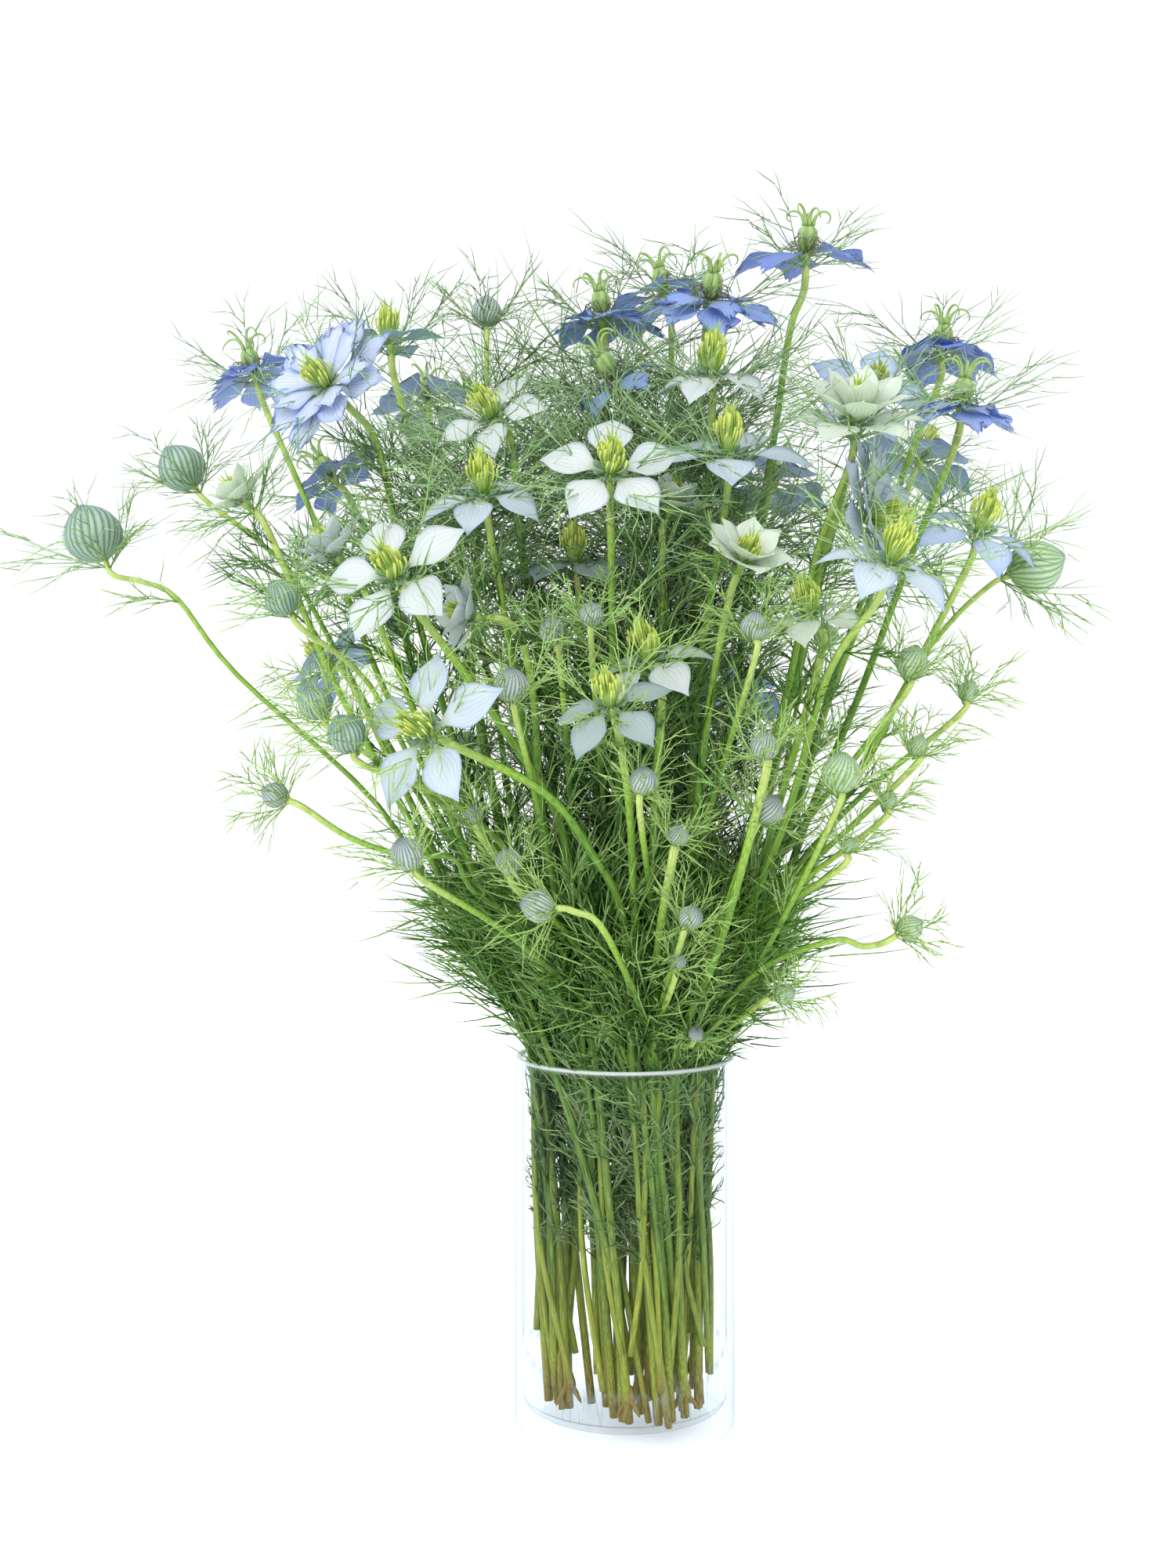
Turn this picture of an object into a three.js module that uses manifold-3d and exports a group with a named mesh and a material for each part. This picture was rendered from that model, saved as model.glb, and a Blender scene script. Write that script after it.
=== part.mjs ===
// A bunch of love-in-a-mist (Nigella damascena) standing in a clear glass cylinder vase.
// Millimetres, +Z up. The origin is the centre of the vase's underside, and -Y is the front.
import * as THREE from "three";
import { mergeVertices } from "three/addons/utils/BufferGeometryUtils.js";
import Module from "manifold-3d";

const wasm = await Module();
wasm.setup();

// ---- driving dimensions ----

const VASE = { radius: 45, height: 150, wall: 3, floor: 8, edge: 1, inner: 4, sides: 24 };
const GAP = 0.35; // clear distance kept between neighbouring solids
const THICK = 0.7; // thickness of a petal

// Stems are set out on level planes: on the vase floor, half way up it, at its rim, then every 50 mm.
const LEVELS = [VASE.floor + 0.4, 80, VASE.height, 200, 250, 300, 350, 400, 450];
const RIM = 2; // the level at the rim
const FAN_APEX = 50; // the height that the stems above the rim fan out from
const RIM_REACH = 38.5; // how far from the axis a stem's centre may pass the rim
const FOOT_SPREAD = 0.86; // spread of the cut ends, as a part of the spread at the rim
const FOOT_TWIST = 0.45; // turn of the cut ends round the axis against the rim, in radians
const STEM = { foot: 1.55, top: 1.05, thinAt: 330, apart: 3.65 };
const NECK = 14; // length of the straight stretch of stem under a bloom
const BUD_NECK = 7; // length of that under a bud, past the bud's radius
const NEAREST_LEVEL = 16; // least height between a shoot's last level and its first bend or neck
const HOLE = 2; // radius of the hole in a ring of petals, which the stem passes
const CLAW = 3.7; // radius where the narrow feet of the petals part
const SEAM = 2.8; // radius where an upper ring of petals grows from the lower one's hub
const LAYER_LIFT = 1.1; // height of an upper ring of petals over the lower one
const CUPPING = 0.16; // rise of a petal's edges over its midrib, as a part of its half width

// Petals: how many, their length and half width as parts of the bloom's radius, and how many degrees
// they rise at the foot and at the tip.
const RINGS = {
  open: [{ petals: 5, length: 1, width: 0.36, foot: 24, tip: -8, rows: [0.42, 0.78] }],
  drooping: [{ petals: 5, length: 1, width: 0.34, foot: 16, tip: -52, rows: [0.42, 0.78] }],
  cupped: [{ petals: 5, length: 1.15, width: 0.4, foot: 68, tip: 38, rows: [0.55] }],
  hidden: [{ petals: 5, length: 1, width: 0.32, foot: 18, tip: -12, rows: [0.6] }],
  layered: [
    { petals: 6, length: 1, width: 0.3, foot: 10, tip: -16, rows: [0.6] },
    { petals: 6, length: 0.78, width: 0.25, foot: 38, tip: 12, rows: [0.6] },
  ],
};

// ---- what each stem carries: places in mm, the way it faces, and the level its branch leaves ----

const bloom = (place, radius, facing, kind, centre, more = {}) =>
  ({ type: "bloom", place, radius, facing, kind, centre, ...more });
const bud = (place, radius, facing, more = {}) => ({ type: "bud", place, radius, facing, ...more });

// The first head of a stem ends its main shoot. The others branch off it at the level `fork`, and
// `via` lists the bends of a branch that sags or arches.
const STEMS = [
  [
    bloom([-120, -10, 422], 23, [-0.5, -0.5, 0.7], "layered", "stamens", { spin: 0.2 }),
    bloom([-166, 70, 446], 21, [-0.3, 0.1, 0.95], "layered", "capsule", { fork: 1 }),
    bud([-185, 10, 393], 10, [-0.6, 0, 0.8],
      { fork: 3, via: [[-115, 0, 309], [-136, 0, 346], [-151, 2, 361]] }),
    bud([-132, -50, 332], 7, [-0.5, -0.2, 0.8], { fork: 3 }),
  ],
  [
    bloom([-102, 50, 454], 20, [-0.1, 0, 1], "open", "stamens"),
    bloom([-90, 100, 440], 20, [-0.1, 0.3, 0.9], "hidden", "capsule", { fork: 1 }),
    bud([-58, 20, 461], 6.5, [0, 0, 1], { fork: 5 }),
    bud([-40, 112, 350], 6, [-0.1, 0.5, 0.8], { fork: 3 }),
  ],
  [
    bloom([-130, 70, 399], 17, [-0.6, 0.2, 0.8], "hidden", "capsule"),
    bloom([-152, -20, 373], 14, [-0.6, -0.2, 0.75], "cupped", "stamens", { fork: 1 }),
    bud([-104, 96, 336], 6, [-0.5, 0.5, 0.8], { fork: 3 }),
  ],
  [
    bloom([-52, -30, 405], 19, [-0.45, -0.5, 0.75], "open", "stamens", { spin: 0.5 }),
    bloom([-54, -60, 369], 20, [-0.1, -0.2, 1], "drooping", "stamens", { fork: 1, spin: 0.7 }),
    bud([-28, -80, 317], 5, [-0.2, -0.3, 0.9], { fork: 3 }),
  ],
  [
    bloom([-9, 20, 457], 22, [-0.1, 0, 1], "layered", "capsule"),
    bloom([-4, -10, 424], 18, [-0.5, -0.3, 0.8], "drooping", "capsule", { fork: 1 }),
    bud([-14, -95, 321], 4.5, [0, -0.3, 0.95], { fork: 3 }),
  ],
  [
    bloom([35, 0, 459], 25, [0.1, -0.45, 0.9], "layered", "capsule", { spin: 0.4 }),
    bloom([19, 55, 478], 20, [-0.2, 0.1, 1], "hidden", "capsule", { fork: 2 }),
  ],
  [
    bloom([-7, -80, 374], 22, [0, -0.85, 0.55], "open", "stamens", { spin: 0.3 }),
    bloom([-20, -25, 348], 18.5, [-0.1, -0.2, 1], "hidden", "stamens", { fork: 2 }),
  ],
  [
    bloom([34, -30, 421], 20, [0, -0.1, 1], "drooping", "stamens", { spin: 0.6 }),
    bloom([16, -50, 366], 13, [0.2, -0.4, 0.9], "cupped", "stamens", { fork: 3 }),
  ],
  [
    bloom([76, 10, 481], 26, [0.05, 0, 1], "layered", "capsule", { spin: 0.1 }),
    bloom([70, 90, 401], 19, [0.2, 0.4, 0.9], "hidden", "capsule", { fork: 1 }),
    bloom([52, 92, 303], 18, [0.2, 0.7, 0.7], "hidden", "capsule", { fork: 2 }),
    bud([8, 104, 292], 6, [0, 0.5, 0.85], { fork: 3 }),
  ],
  [
    bloom([38, -55, 385], 26, [0, -0.1, 1], "drooping", "stamens", { spin: 0.9 }),
    bloom([41, -80, 341], 15, [0.1, -0.5, 0.85], "cupped", "stamens", { fork: 1 }),
    bud([43, -105, 316], 5, [0, -0.1, 1], { fork: 3 }),
  ],
  [
    bloom([100, -5, 419], 21, [0.1, -0.6, 0.8], "open", "stamens", { spin: 0.2 }),
    bloom([86, -55, 396], 20, [0.05, -0.3, 0.95], "layered", "stamens", { fork: 1 }),
  ],
  [
    bloom([140, 45, 450], 22, [0.1, 0.1, 1], "layered", "capsule"),
    bloom([137, 80, 409], 20, [0.4, 0.2, 0.9], "hidden", "stamens", { fork: 2 }),
    bud([96, 92, 330], 6, [0.3, 0.5, 0.8], { fork: 3 }),
  ],
  [
    bloom([136, -10, 413], 21, [0.1, -0.2, 1], "layered", "capsule", { spin: 0.3 }),
    bloom([135, -45, 357], 21, [0.25, -0.2, 0.95], "drooping", "stamens", { fork: 1 }),
    bud([164, -20, 348], 11, [0.9, -0.2, 0.35],
      { fork: 3, via: [[78, -25, 240], [100, -24, 277], [114, -22, 305], [131, -20, 327]] }),
  ],
  [
    bloom([92, -45, 363], 22, [0.95, -0.2, 0.25], "layered", "stamens"),
    bloom([90, -105, 337], 21, [0.2, -0.6, 0.75], "open", "stamens", { fork: 1, spin: 0.9 }),
    bud([102, -85, 305], 6, [0.2, -0.2, 0.9], { fork: 3 }),
  ],
  [
    bloom([67, -75, 322], 18, [-0.3, -0.3, 0.9], "drooping", "stamens", { spin: 0.5 }),
    bud([74, -100, 265], 7, [0.1, -0.2, 1], { fork: 2 }),
    bud([128, -60, 296], 4, [0.4, 0, 0.9], { fork: 3 }),
    bud([106, -75, 275], 4, [0.3, -0.2, 0.9], { fork: 3 }),
    bud([106, -60, 207], 5, [0.85, -0.1, 0.5],
      { fork: 2, via: [[46, -58, 188], [76, -60, 202], [88, -60, 200]] }),
    bud([59, -60, 182], 4, [0.8, -0.3, 0.4], { fork: 2 }),
    bud([96, -70, 255], 3.5, [0.4, -0.1, 0.9], { fork: 3 }),
    bud([79, -85, 239], 3, [0.3, -0.3, 0.9], { fork: 3 }),
  ],
  [
    bloom([8, -75, 305], 20, [-0.3, -0.4, 0.85], "drooping", "stamens"),
    bloom([-7, -115, 287], 18, [0, -0.9, 0.4], "open", "stamens", { fork: 2, spin: 0.2 }),
    bud([4, -115, 262], 5, [0.1, -0.3, 0.9], { fork: 3 }),
  ],
  [
    bloom([-85, -80, 336], 23, [-0.3, -0.55, 0.8], "open", "stamens",
      { via: [[-26, -60, 247], [-47, -68, 282], [-66, -72, 309]], spin: 0.1 }),
    bloom([-113, -30, 350], 16, [-0.6, -0.2, 0.75], "cupped", "stamens", { fork: 1 }),
    bud([-116, -70, 291], 6.5, [-0.5, -0.2, 0.8], { fork: 3 }),
    bud([-101, -95, 279], 7, [-0.4, -0.4, 0.8], { fork: 3 }),
  ],
  [
    bloom([-71, -105, 279], 23, [-0.45, -0.85, 0.25], "open", "stamens",
      { via: [[-2, -66, 210], [-14, -78, 236], [-31, -88, 258]], spin: 0.5 }),
    bud([-78, -110, 237], 6, [-0.4, -0.5, 0.75], { fork: 2 }),
    bud([-57, -75, 250], 3.5, [-0.3, -0.3, 0.9], { fork: 2 }),
    bud([-44, -78, 233], 5, [-0.2, -0.4, 0.9], { fork: 2 }),
    bud([-133, -60, 257], 5, [-0.9, 0, 0.4],
      { fork: 2, via: [[-57, -56, 219], [-66, -58, 233], [-84, -60, 234], [-105, -60, 241]] }),
  ],
  [
    bloom([-57, -60, 324], 14, [-0.9, -0.3, 0.2], "cupped", "stamens"),
    bud([-42, -100, 296], 6, [-0.1, -0.4, 0.9], { fork: 2 }),
  ],
  [
    bloom([-129, 50, 314], 17, [-0.7, 0.3, 0.6], "hidden", "stamens"),
    bud([-219, 0, 364], 12, [-0.45, 0, 0.9],
      { fork: 2, via: [[-102, 4, 252], [-160, 2, 306], [-184, 0, 337], [-198, 0, 344]] }),
    bud([-72, 92, 280], 6, [-0.3, 0.6, 0.8], { fork: 2 }),
  ],
  [
    bud([46, -110, 274], 5, [0, -0.2, 1]),
    bud([49, -95, 252], 5.5, [0.5, -0.2, 0.85], { fork: 2 }),
    bud([26, -52, 166], 3, [0.1, -0.8, 0.5], { fork: 2 }),
  ],
  [
    bud([17, -95, 243], 4, [0.2, -0.4, 0.9]),
    bud([22, -85, 213], 4.5, [0.3, -0.4, 0.85], { fork: 2 }),
    bud([18, -75, 196], 3, [0.1, -0.6, 0.7], { fork: 2 }),
    bud([-33, -98, 218], 6, [-1, 0, 0.15], { fork: 2, via: [[-8, -88, 206]] }),
  ],
];

// ---- solids ----

const vec = (x, y, z) => new THREE.Vector3(x, y, z);
const mix = THREE.MathUtils.lerp;
const radians = THREE.MathUtils.degToRad;
// A repeatable unevenness between -1 and 1 for the i-th thing of the j-th kind.
const vary = (i, j) => Math.sin(12.9898 * i + 78.233 * j);

/** A closed solid from corner points and triangles that list them anticlockwise from outside. */
function solid(points, triangles) {
  const vertProperties = new Float32Array(points.flatMap((p) => [p.x, p.y, p.z]));
  const mesh = new wasm.Mesh({ numProp: 3, vertProperties, triVerts: new Uint32Array(triangles) });
  return new wasm.Manifold(mesh);
}

const WELD = 5e-2; // corners lie on a grid of this step, and those that meet on it are one

/** A closed solid from a geometry whose corners meet. */
function fromGeometry(geometry) {
  geometry.deleteAttribute("normal");
  geometry.deleteAttribute("uv");
  const { array } = geometry.getAttribute("position");
  array.forEach((value, i) => {
    array[i] = WELD * Math.round(value / WELD);
  });
  const merged = mergeVertices(geometry, WELD);
  const place = merged.getAttribute("position");
  const points = Array.from({ length: place.count }, (_, i) => vec().fromBufferAttribute(place, i));
  return solid(points, Array.from(merged.index.array));
}

/** A straight three-sided spike from one point to another, with its radius at each. */
function spike(from, to, thick, thin) {
  const along = to.clone().sub(from).normalize();
  const aside = vec(0, 0, 1).cross(along).normalize();
  const across = along.clone().cross(aside);
  const ring = (point, radius) => [0, 1, 2].map((i) => {
    const turn = (2 * Math.PI * i) / 3;
    return point.clone()
      .addScaledVector(aside, radius * Math.cos(turn))
      .addScaledVector(across, radius * Math.sin(turn));
  });
  const sides = [0, 1, 2].flatMap((i) => {
    const j = (i + 1) % 3;
    return [i, j, j + 3, i, j + 3, i + 3];
  });
  return solid([...ring(from, thick), ...ring(to, thin)], [...sides, 0, 2, 1, 3, 4, 5]);
}

/** The axes of a head that faces along `facing`, and a point at an angle, radius and height on it. */
function headAxes(head) {
  const up = vec(...head.facing).normalize();
  const side = vec(0, 1, 0).cross(up).normalize();
  const front = up.clone().cross(side);
  const centre = vec(...head.place);
  const at = (angle, radius, height) =>
    centre.clone()
      .addScaledVector(side, radius * Math.cos(angle))
      .addScaledVector(front, radius * Math.sin(angle))
      .addScaledVector(up, height);
  return { up, centre, at };
}

/**
 * A bloom's petals: one ring of them, or two that share a hub. Each ring is a thin plate with a hole,
 * from which the petals part at their claws, and an upper ring's plate grows from the one below.
 */
function corolla(head) {
  const { at } = headAxes(head);
  const corners = [];
  const triangles = [];
  const add = (point) => corners.push(point) - 1;
  const half = THICK / 2;
  const rings = RINGS[head.kind];
  const count = rings[0].petals;
  const step = (2 * Math.PI) / count;
  const circle = (radius, height, turn) =>
    Array.from({ length: count }, (_, i) => add(at(turn + (i - 0.5) * step, radius, height)));
  const strip = (inner, outer, faceDown) => {
    inner.forEach((corner, i) => {
      const next = (i + 1) % count;
      const upper = [[corner, outer[i], inner[next]], [inner[next], outer[i], outer[next]]];
      for (const [p, q, r] of upper) triangles.push(...(faceDown ? [p, r, q] : [p, q, r]));
    });
  };
  const spin = head.spin ?? 0;
  const hubBelow = circle(HOLE, -half, spin);
  let inner = hubBelow;
  rings.forEach((ring, layer) => {
    const turn = spin + (layer * step) / 2;
    const lift = layer * LAYER_LIFT;
    const pair = (angle, radius, height, lean) => {
      const shift = half * Math.sin(lean);
      const rise = half * Math.cos(lean);
      return [
        add(at(angle, radius - shift, lift + height + rise)),
        add(at(angle, radius + shift, lift + height - rise)),
      ];
    };
    const forks = Array.from({ length: count }, (_, i) => pair(turn + (i - 0.5) * step, CLAW, 0, 0));
    for (let i = 0; i < count; i++) {
      const angle = turn + i * step;
      const reach = (head.radius - CLAW) * ring.length * (1 + 0.07 * vary(i, head.radius));
      const foot = radians(ring.foot + 7 * vary(i, head.place[0]));
      const tip = radians(ring.tip + 9 * vary(i, head.place[2]));
      const spine = (part) => {
        const lean = mix(foot, tip, part);
        const mean = mix(foot, lean, 0.5);
        const radius = CLAW * 0.8 + reach * part * Math.cos(mean);
        return [radius, reach * part * Math.sin(mean), lean];
      };
      const rows = ring.rows.map((part, k) => {
        const [radius, height, lean] = spine(part);
        const widest = head.radius * ring.width * (k === 0 ? 1 : 0.8);
        const spread = Math.min(widest, 0.9 * radius * Math.tan(step / 2));
        const swing = Math.atan2(spread, radius);
        const wide = Math.hypot(radius, spread);
        return [
          pair(angle - swing, wide, height + CUPPING * spread, lean),
          pair(angle, radius, height, lean),
          pair(angle + swing, wide, height + CUPPING * spread, lean),
        ];
      });
      const end = pair(angle, ...spine(1));
      const from = forks[i];
      const to = forks[(i + 1) % count];
      const first = rows[0];
      const last = rows[rows.length - 1];
      const faces = [[from, first[0], first[1]], [from, first[1], to], [to, first[1], first[2]]];
      for (let k = 0; k + 1 < rows.length; k++) {
        const [p, q, r] = rows[k];
        const [u, v, w] = rows[k + 1];
        faces.push([p, u, v], [p, v, q], [q, v, w], [q, w, r]);
      }
      faces.push([last[0], end, last[1]], [last[1], end, last[2]]);
      for (const [p, q, r] of faces) triangles.push(p[0], q[0], r[0], p[1], r[1], q[1]);
      const edge = [from, ...rows.map((row) => row[0]), end, ...rows.map((row) => row[2]).reverse(), to];
      edge.slice(1).forEach((q, k) => {
        const p = edge[k];
        triangles.push(p[0], p[1], q[1], p[0], q[1], q[0]);
      });
    }
    strip(inner, forks.map((fork) => fork[1]), true);
    const isTop = layer === rings.length - 1;
    inner = circle(isTop ? HOLE : SEAM, lift + half, turn);
    strip(inner, forks.map((fork) => fork[0]), false);
  });
  hubBelow.forEach((corner, i) => {
    const next = (i + 1) % count;
    triangles.push(corner, inner[i], hubBelow[next], hubBelow[next], inner[i], inner[next]);
  });
  return solid(corners, triangles);
}

/**
 * A shoot's own solid: rings of corners along its route, closed in a point or in a crown. A row is
 * { point, radius, sides, turn, tips }: tips, if given, turns a face's outward direction and its number
 * into the point that the face to the next row rises to, or null where it stays flat.
 */
function shootSolid(rows, horns) {
  const corners = [];
  const triangles = [];
  const rings = [];
  let side = null;
  let ahead = null;
  rows.forEach((row, k) => {
    const before = rows[Math.max(k - 1, 0)].point;
    const after = rows[Math.min(k + 1, rows.length - 1)].point;
    ahead = after.clone().sub(before).normalize();
    if (side === null) side = vec(0, 1, 0);
    side = side.clone().addScaledVector(ahead, -side.dot(ahead)).normalize();
    const across = ahead.clone().cross(side);
    const ring = [];
    for (let i = 0; i < row.sides; i++) {
      const turn = row.turn + (2 * Math.PI * i) / row.sides;
      const corner = row.point.clone().addScaledVector(side, row.radius * Math.cos(turn));
      ring.push(corners.push(corner.addScaledVector(across, row.radius * Math.sin(turn))) - 1);
    }
    rings.push(ring);
  });
  for (let i = 1; i + 1 < rings[0].length; i++) triangles.push(rings[0][0], rings[0][i + 1], rings[0][i]);
  for (let k = 0; k + 1 < rings.length; k++) {
    const low = rings[k];
    const high = rings[k + 1];
    if (rows[k].tips) {
      low.forEach((corner, i) => {
        const next = (i + 1) % low.length;
        const face = [corner, low[next], high[next], high[i]];
        const out = corners[corner].clone().add(corners[low[next]]).multiplyScalar(0.5);
        const tip = rows[k].tips(out.sub(rows[k].point).normalize(), i);
        if (tip === null) {
          triangles.push(face[0], face[1], face[2], face[0], face[2], face[3]);
          return;
        }
        const top = corners.push(tip) - 1;
        face.forEach((p, j) => triangles.push(p, face[(j + 1) % 4], top));
      });
      continue;
    }
    let i = 0;
    let j = 0;
    while (i < low.length || j < high.length) {
      const p = low[i % low.length];
      const q = high[j % high.length];
      if (j >= high.length || (i < low.length && (i + 1) / low.length <= (j + 1) / high.length)) {
        triangles.push(p, low[(i + 1) % low.length], q);
        i += 1;
      } else {
        triangles.push(p, high[(j + 1) % high.length], q);
        j += 1;
      }
    }
  }
  const last = rings[rings.length - 1];
  const { point } = rows[rows.length - 1];
  const middle = corners.push(point.clone().addScaledVector(ahead, horns.rise)) - 1;
  last.forEach((corner, i) => {
    const next = last[(i + 1) % last.length];
    const out = corners[corner].clone().add(corners[next]).multiplyScalar(0.5).sub(point).normalize();
    const across = ahead.clone().cross(out);
    let foot = [corner, next, middle];
    (horns.bends ?? []).forEach(({ radius, height, swing, thick }) => {
      const outward = out.clone().multiplyScalar(Math.cos(swing)).addScaledVector(across, Math.sin(swing));
      const centre = point.clone().addScaledVector(outward, radius).addScaledVector(ahead, height);
      if (!thick) {
        const tip = corners.push(centre) - 1;
        foot.forEach((p, n) => triangles.push(p, foot[(n + 1) % 3], tip));
        foot = null;
        return;
      }
      const sideways = ahead.clone().cross(outward).multiplyScalar(thick);
      const knee = [
        corners.push(centre.clone().sub(sideways).addScaledVector(outward, thick / 2)) - 1,
        corners.push(centre.clone().add(sideways).addScaledVector(outward, thick / 2)) - 1,
        corners.push(centre.clone().addScaledVector(outward, -thick)) - 1,
      ];
      foot.forEach((p, n) => {
        const m = (n + 1) % 3;
        triangles.push(p, foot[m], knee[m], p, knee[m], knee[n]);
      });
      foot = knee;
    });
    if (foot) triangles.push(...foot);
  });
  return solid(corners, triangles);
}

// ---- the stems' routes ----

/** Where a head's straight neck begins. */
function neckOf(head) {
  const length = head.type === "bloom" ? NECK : head.radius + BUD_NECK;
  const { at } = headAxes(head);
  return at(0, 0, -length);
}

const BRANCH_TURN = 0.8; // how far the corners of each branch are turned from those of the one before

/** Every shoot, with a point on each level up to its first bend or its neck. */
function setOutShoots() {
  const shoots = [];
  STEMS.forEach((heads, stem) => {
    const main = shoots.length;
    heads.forEach((head, index) => {
      const bends = (head.via ?? []).map((bend) => vec(...bend));
      const fixed = [...bends, neckOf(head)];
      const aim = fixed[0];
      const fork = index === 0 ? 0 : head.fork;
      const count = Math.max(LEVELS.filter((level) => level <= aim.z - NEAREST_LEVEL).length, fork + 1);
      const parent = index === 0 ? null : shoots[main];
      const reach = (VASE.height - FAN_APEX) / (aim.z - FAN_APEX);
      const atRim = vec(aim.x * reach, aim.y * reach, 0).clampLength(0, RIM_REACH);
      const atFoot = atRim.clone().multiplyScalar(FOOT_SPREAD)
        .applyAxisAngle(vec(0, 0, 1), FOOT_TWIST);
      const levels = [];
      for (let k = 0; k < count; k++) {
        if (parent && k <= fork) {
          levels.push(parent.levels[k].clone());
          continue;
        }
        const from = parent && fork >= RIM ? parent.levels[fork] : atRim;
        const base = Math.max(fork, RIM);
        const point = k <= RIM
          ? atFoot.clone().lerp(atRim, (LEVELS[k] - LEVELS[0]) / (LEVELS[RIM] - LEVELS[0]))
          : from.clone().lerp(aim, (LEVELS[k] - LEVELS[base]) / (aim.z - LEVELS[base]));
        levels.push(point.setZ(LEVELS[k]));
      }
      shoots.push({ stem, head, parent, fork, levels, fixed, turn: index * BRANCH_TURN });
    });
  });
  return shoots;
}

const ROUNDS = 160; // rounds in which the shoots are eased apart
const BLOOM_ROOM = { over: 3, axial: 11, high: 3 }; // room kept round a bloom, past its radius
const EASE = 0.5; // part of each overlap that is taken up in one round
const STRAIGHTEN = 0.02; // pull of each point towards the middle of its neighbours

/** Ease the shoots apart where they run closer than they are thick, and out of the blooms. */
function easeApart(shoots) {
  const blooms = shoots.filter(({ head }) => head.type === "bloom");
  for (let round = 0; round < ROUNDS; round++) {
    const moves = shoots.map(({ levels }) => levels.map(() => vec(0, 0, 0)));
    shoots.forEach((a, i) => {
      shoots.slice(i + 1).forEach((b, offset) => {
        if (a.stem === b.stem) return;
        const j = i + 1 + offset;
        const shared = Math.min(a.levels.length, b.levels.length);
        for (let k = 0; k + 1 < shared; k++) {
          const low = a.levels[k].clone().sub(b.levels[k]);
          const high = a.levels[k + 1].clone().sub(b.levels[k + 1]);
          const change = high.clone().sub(low);
          const part = THREE.MathUtils.clamp(-low.dot(change) / (change.lengthSq() + 1e-9), 0, 1);
          const between = low.clone().addScaledVector(change, part);
          const distance = Math.max(between.length(), 1e-6);
          if (distance >= STEM.apart) continue;
          const push = between.multiplyScalar((EASE * (STEM.apart - distance)) / distance);
          moves[i][k].addScaledVector(push, 1 - part);
          moves[i][k + 1].addScaledVector(push, part);
          moves[j][k].addScaledVector(push, part - 1);
          moves[j][k + 1].addScaledVector(push, -part);
        }
      });
      blooms.forEach((other) => {
        if (other === a) return;
        const { up, centre } = headAxes(other.head);
        const middle = centre.clone().addScaledVector(up, BLOOM_ROOM.high);
        const flat = other.head.radius + BLOOM_ROOM.over;
        const points = [...a.levels, a.fixed[0]];
        for (let k = RIM; k + 1 < points.length; k++) {
          const span = points[k + 1].clone().sub(points[k]);
          const way = middle.clone().sub(points[k]);
          const part = THREE.MathUtils.clamp(way.dot(span) / span.lengthSq(), 0, 1);
          const off = points[k].clone().addScaledVector(span, part).sub(middle);
          const along = off.dot(up);
          const out = Math.sqrt(Math.max(off.lengthSq() - along * along, 0));
          const depth = Math.hypot(out / flat, along / BLOOM_ROOM.axial);
          if (depth >= 1) continue;
          const push = off.setZ(0).normalize().multiplyScalar(EASE * (1 - depth) * flat);
          moves[i][k].addScaledVector(push, 1 - part);
          if (k + 1 < a.levels.length) moves[i][k + 1].addScaledVector(push, part);
        }
      });
    });
    shoots.forEach((shoot, i) => {
      const ends = [...shoot.levels.map((point) => point.clone()), shoot.fixed[0]];
      shoot.levels.forEach((point, k) => {
        point.add(moves[i][k]);
        if (k > 0) {
          const middle = ends[k - 1].clone().lerp(ends[k + 1], 0.5);
          point.addScaledVector(middle.sub(ends[k]).setZ(0), STRAIGHTEN);
        }
        if (k <= RIM) {
          const radius = Math.hypot(point.x, point.y);
          const limit = Math.min(1, RIM_REACH / radius);
          point.x *= limit;
          point.y *= limit;
        }
      });
    });
    shoots.forEach((shoot) => {
      if (!shoot.parent) return;
      for (let k = 0; k <= shoot.fork; k++) shoot.levels[k].copy(shoot.parent.levels[k]);
    });
  }
  return shoots;
}

/** The points that a shoot's stem follows, from its foot or its fork up to its neck. */
const routeOf = (shoot) => [...shoot.levels.slice(shoot.fork), ...shoot.fixed];

const stemRadius = (z) => mix(STEM.foot, STEM.top, Math.min(z / STEM.thinAt, 1));

// ---- keeping clear of the neighbours ----

const obstacles = []; // what every thread keeps clear of, with the name of its node

const standInTheWay = (owner, piece) => obstacles.push({ owner, piece, box: piece.boundingBox() });

const apart = (a, b) =>
  [0, 1, 2].some((axis) => a.min[axis] > b.max[axis] || b.min[axis] > a.max[axis]);

/** Whether a piece, made a little too thick, stays clear of every node but its own. */
function isClear(piece, owner) {
  const box = piece.boundingBox();
  return !obstacles.some((other) =>
    other.owner !== owner && !apart(box, other.box) && !piece.intersect(other.piece).isEmpty());
}

const THREAD = 0.65; // half the thickness of a thread at its root
const THREAD_TIP = 0.05; // and at its tip

/** The tip, if a thread from the root to it stays clear of the other nodes, or else null. */
function clearTip(owner, root, tip) {
  const past = tip.clone().add(tip.clone().sub(root).setLength(GAP));
  if (!isClear(spike(root, past, THREAD + GAP, GAP), owner)) return null;
  standInTheWay(owner, spike(root, tip, THREAD, THREAD_TIP));
  return tip;
}

// ---- a shoot with its head ----

const SIDES = { main: 4, branch: 3, head: 5 }; // corners of a ring of the stem and of a head
const SLIM = { main: 1, branch: 0.93, bud: 0.85 }; // thickness of a shoot, as a part of its stem's
const FULL_SIZE = 20; // radius of a bloom whose stamens have their full height

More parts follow.
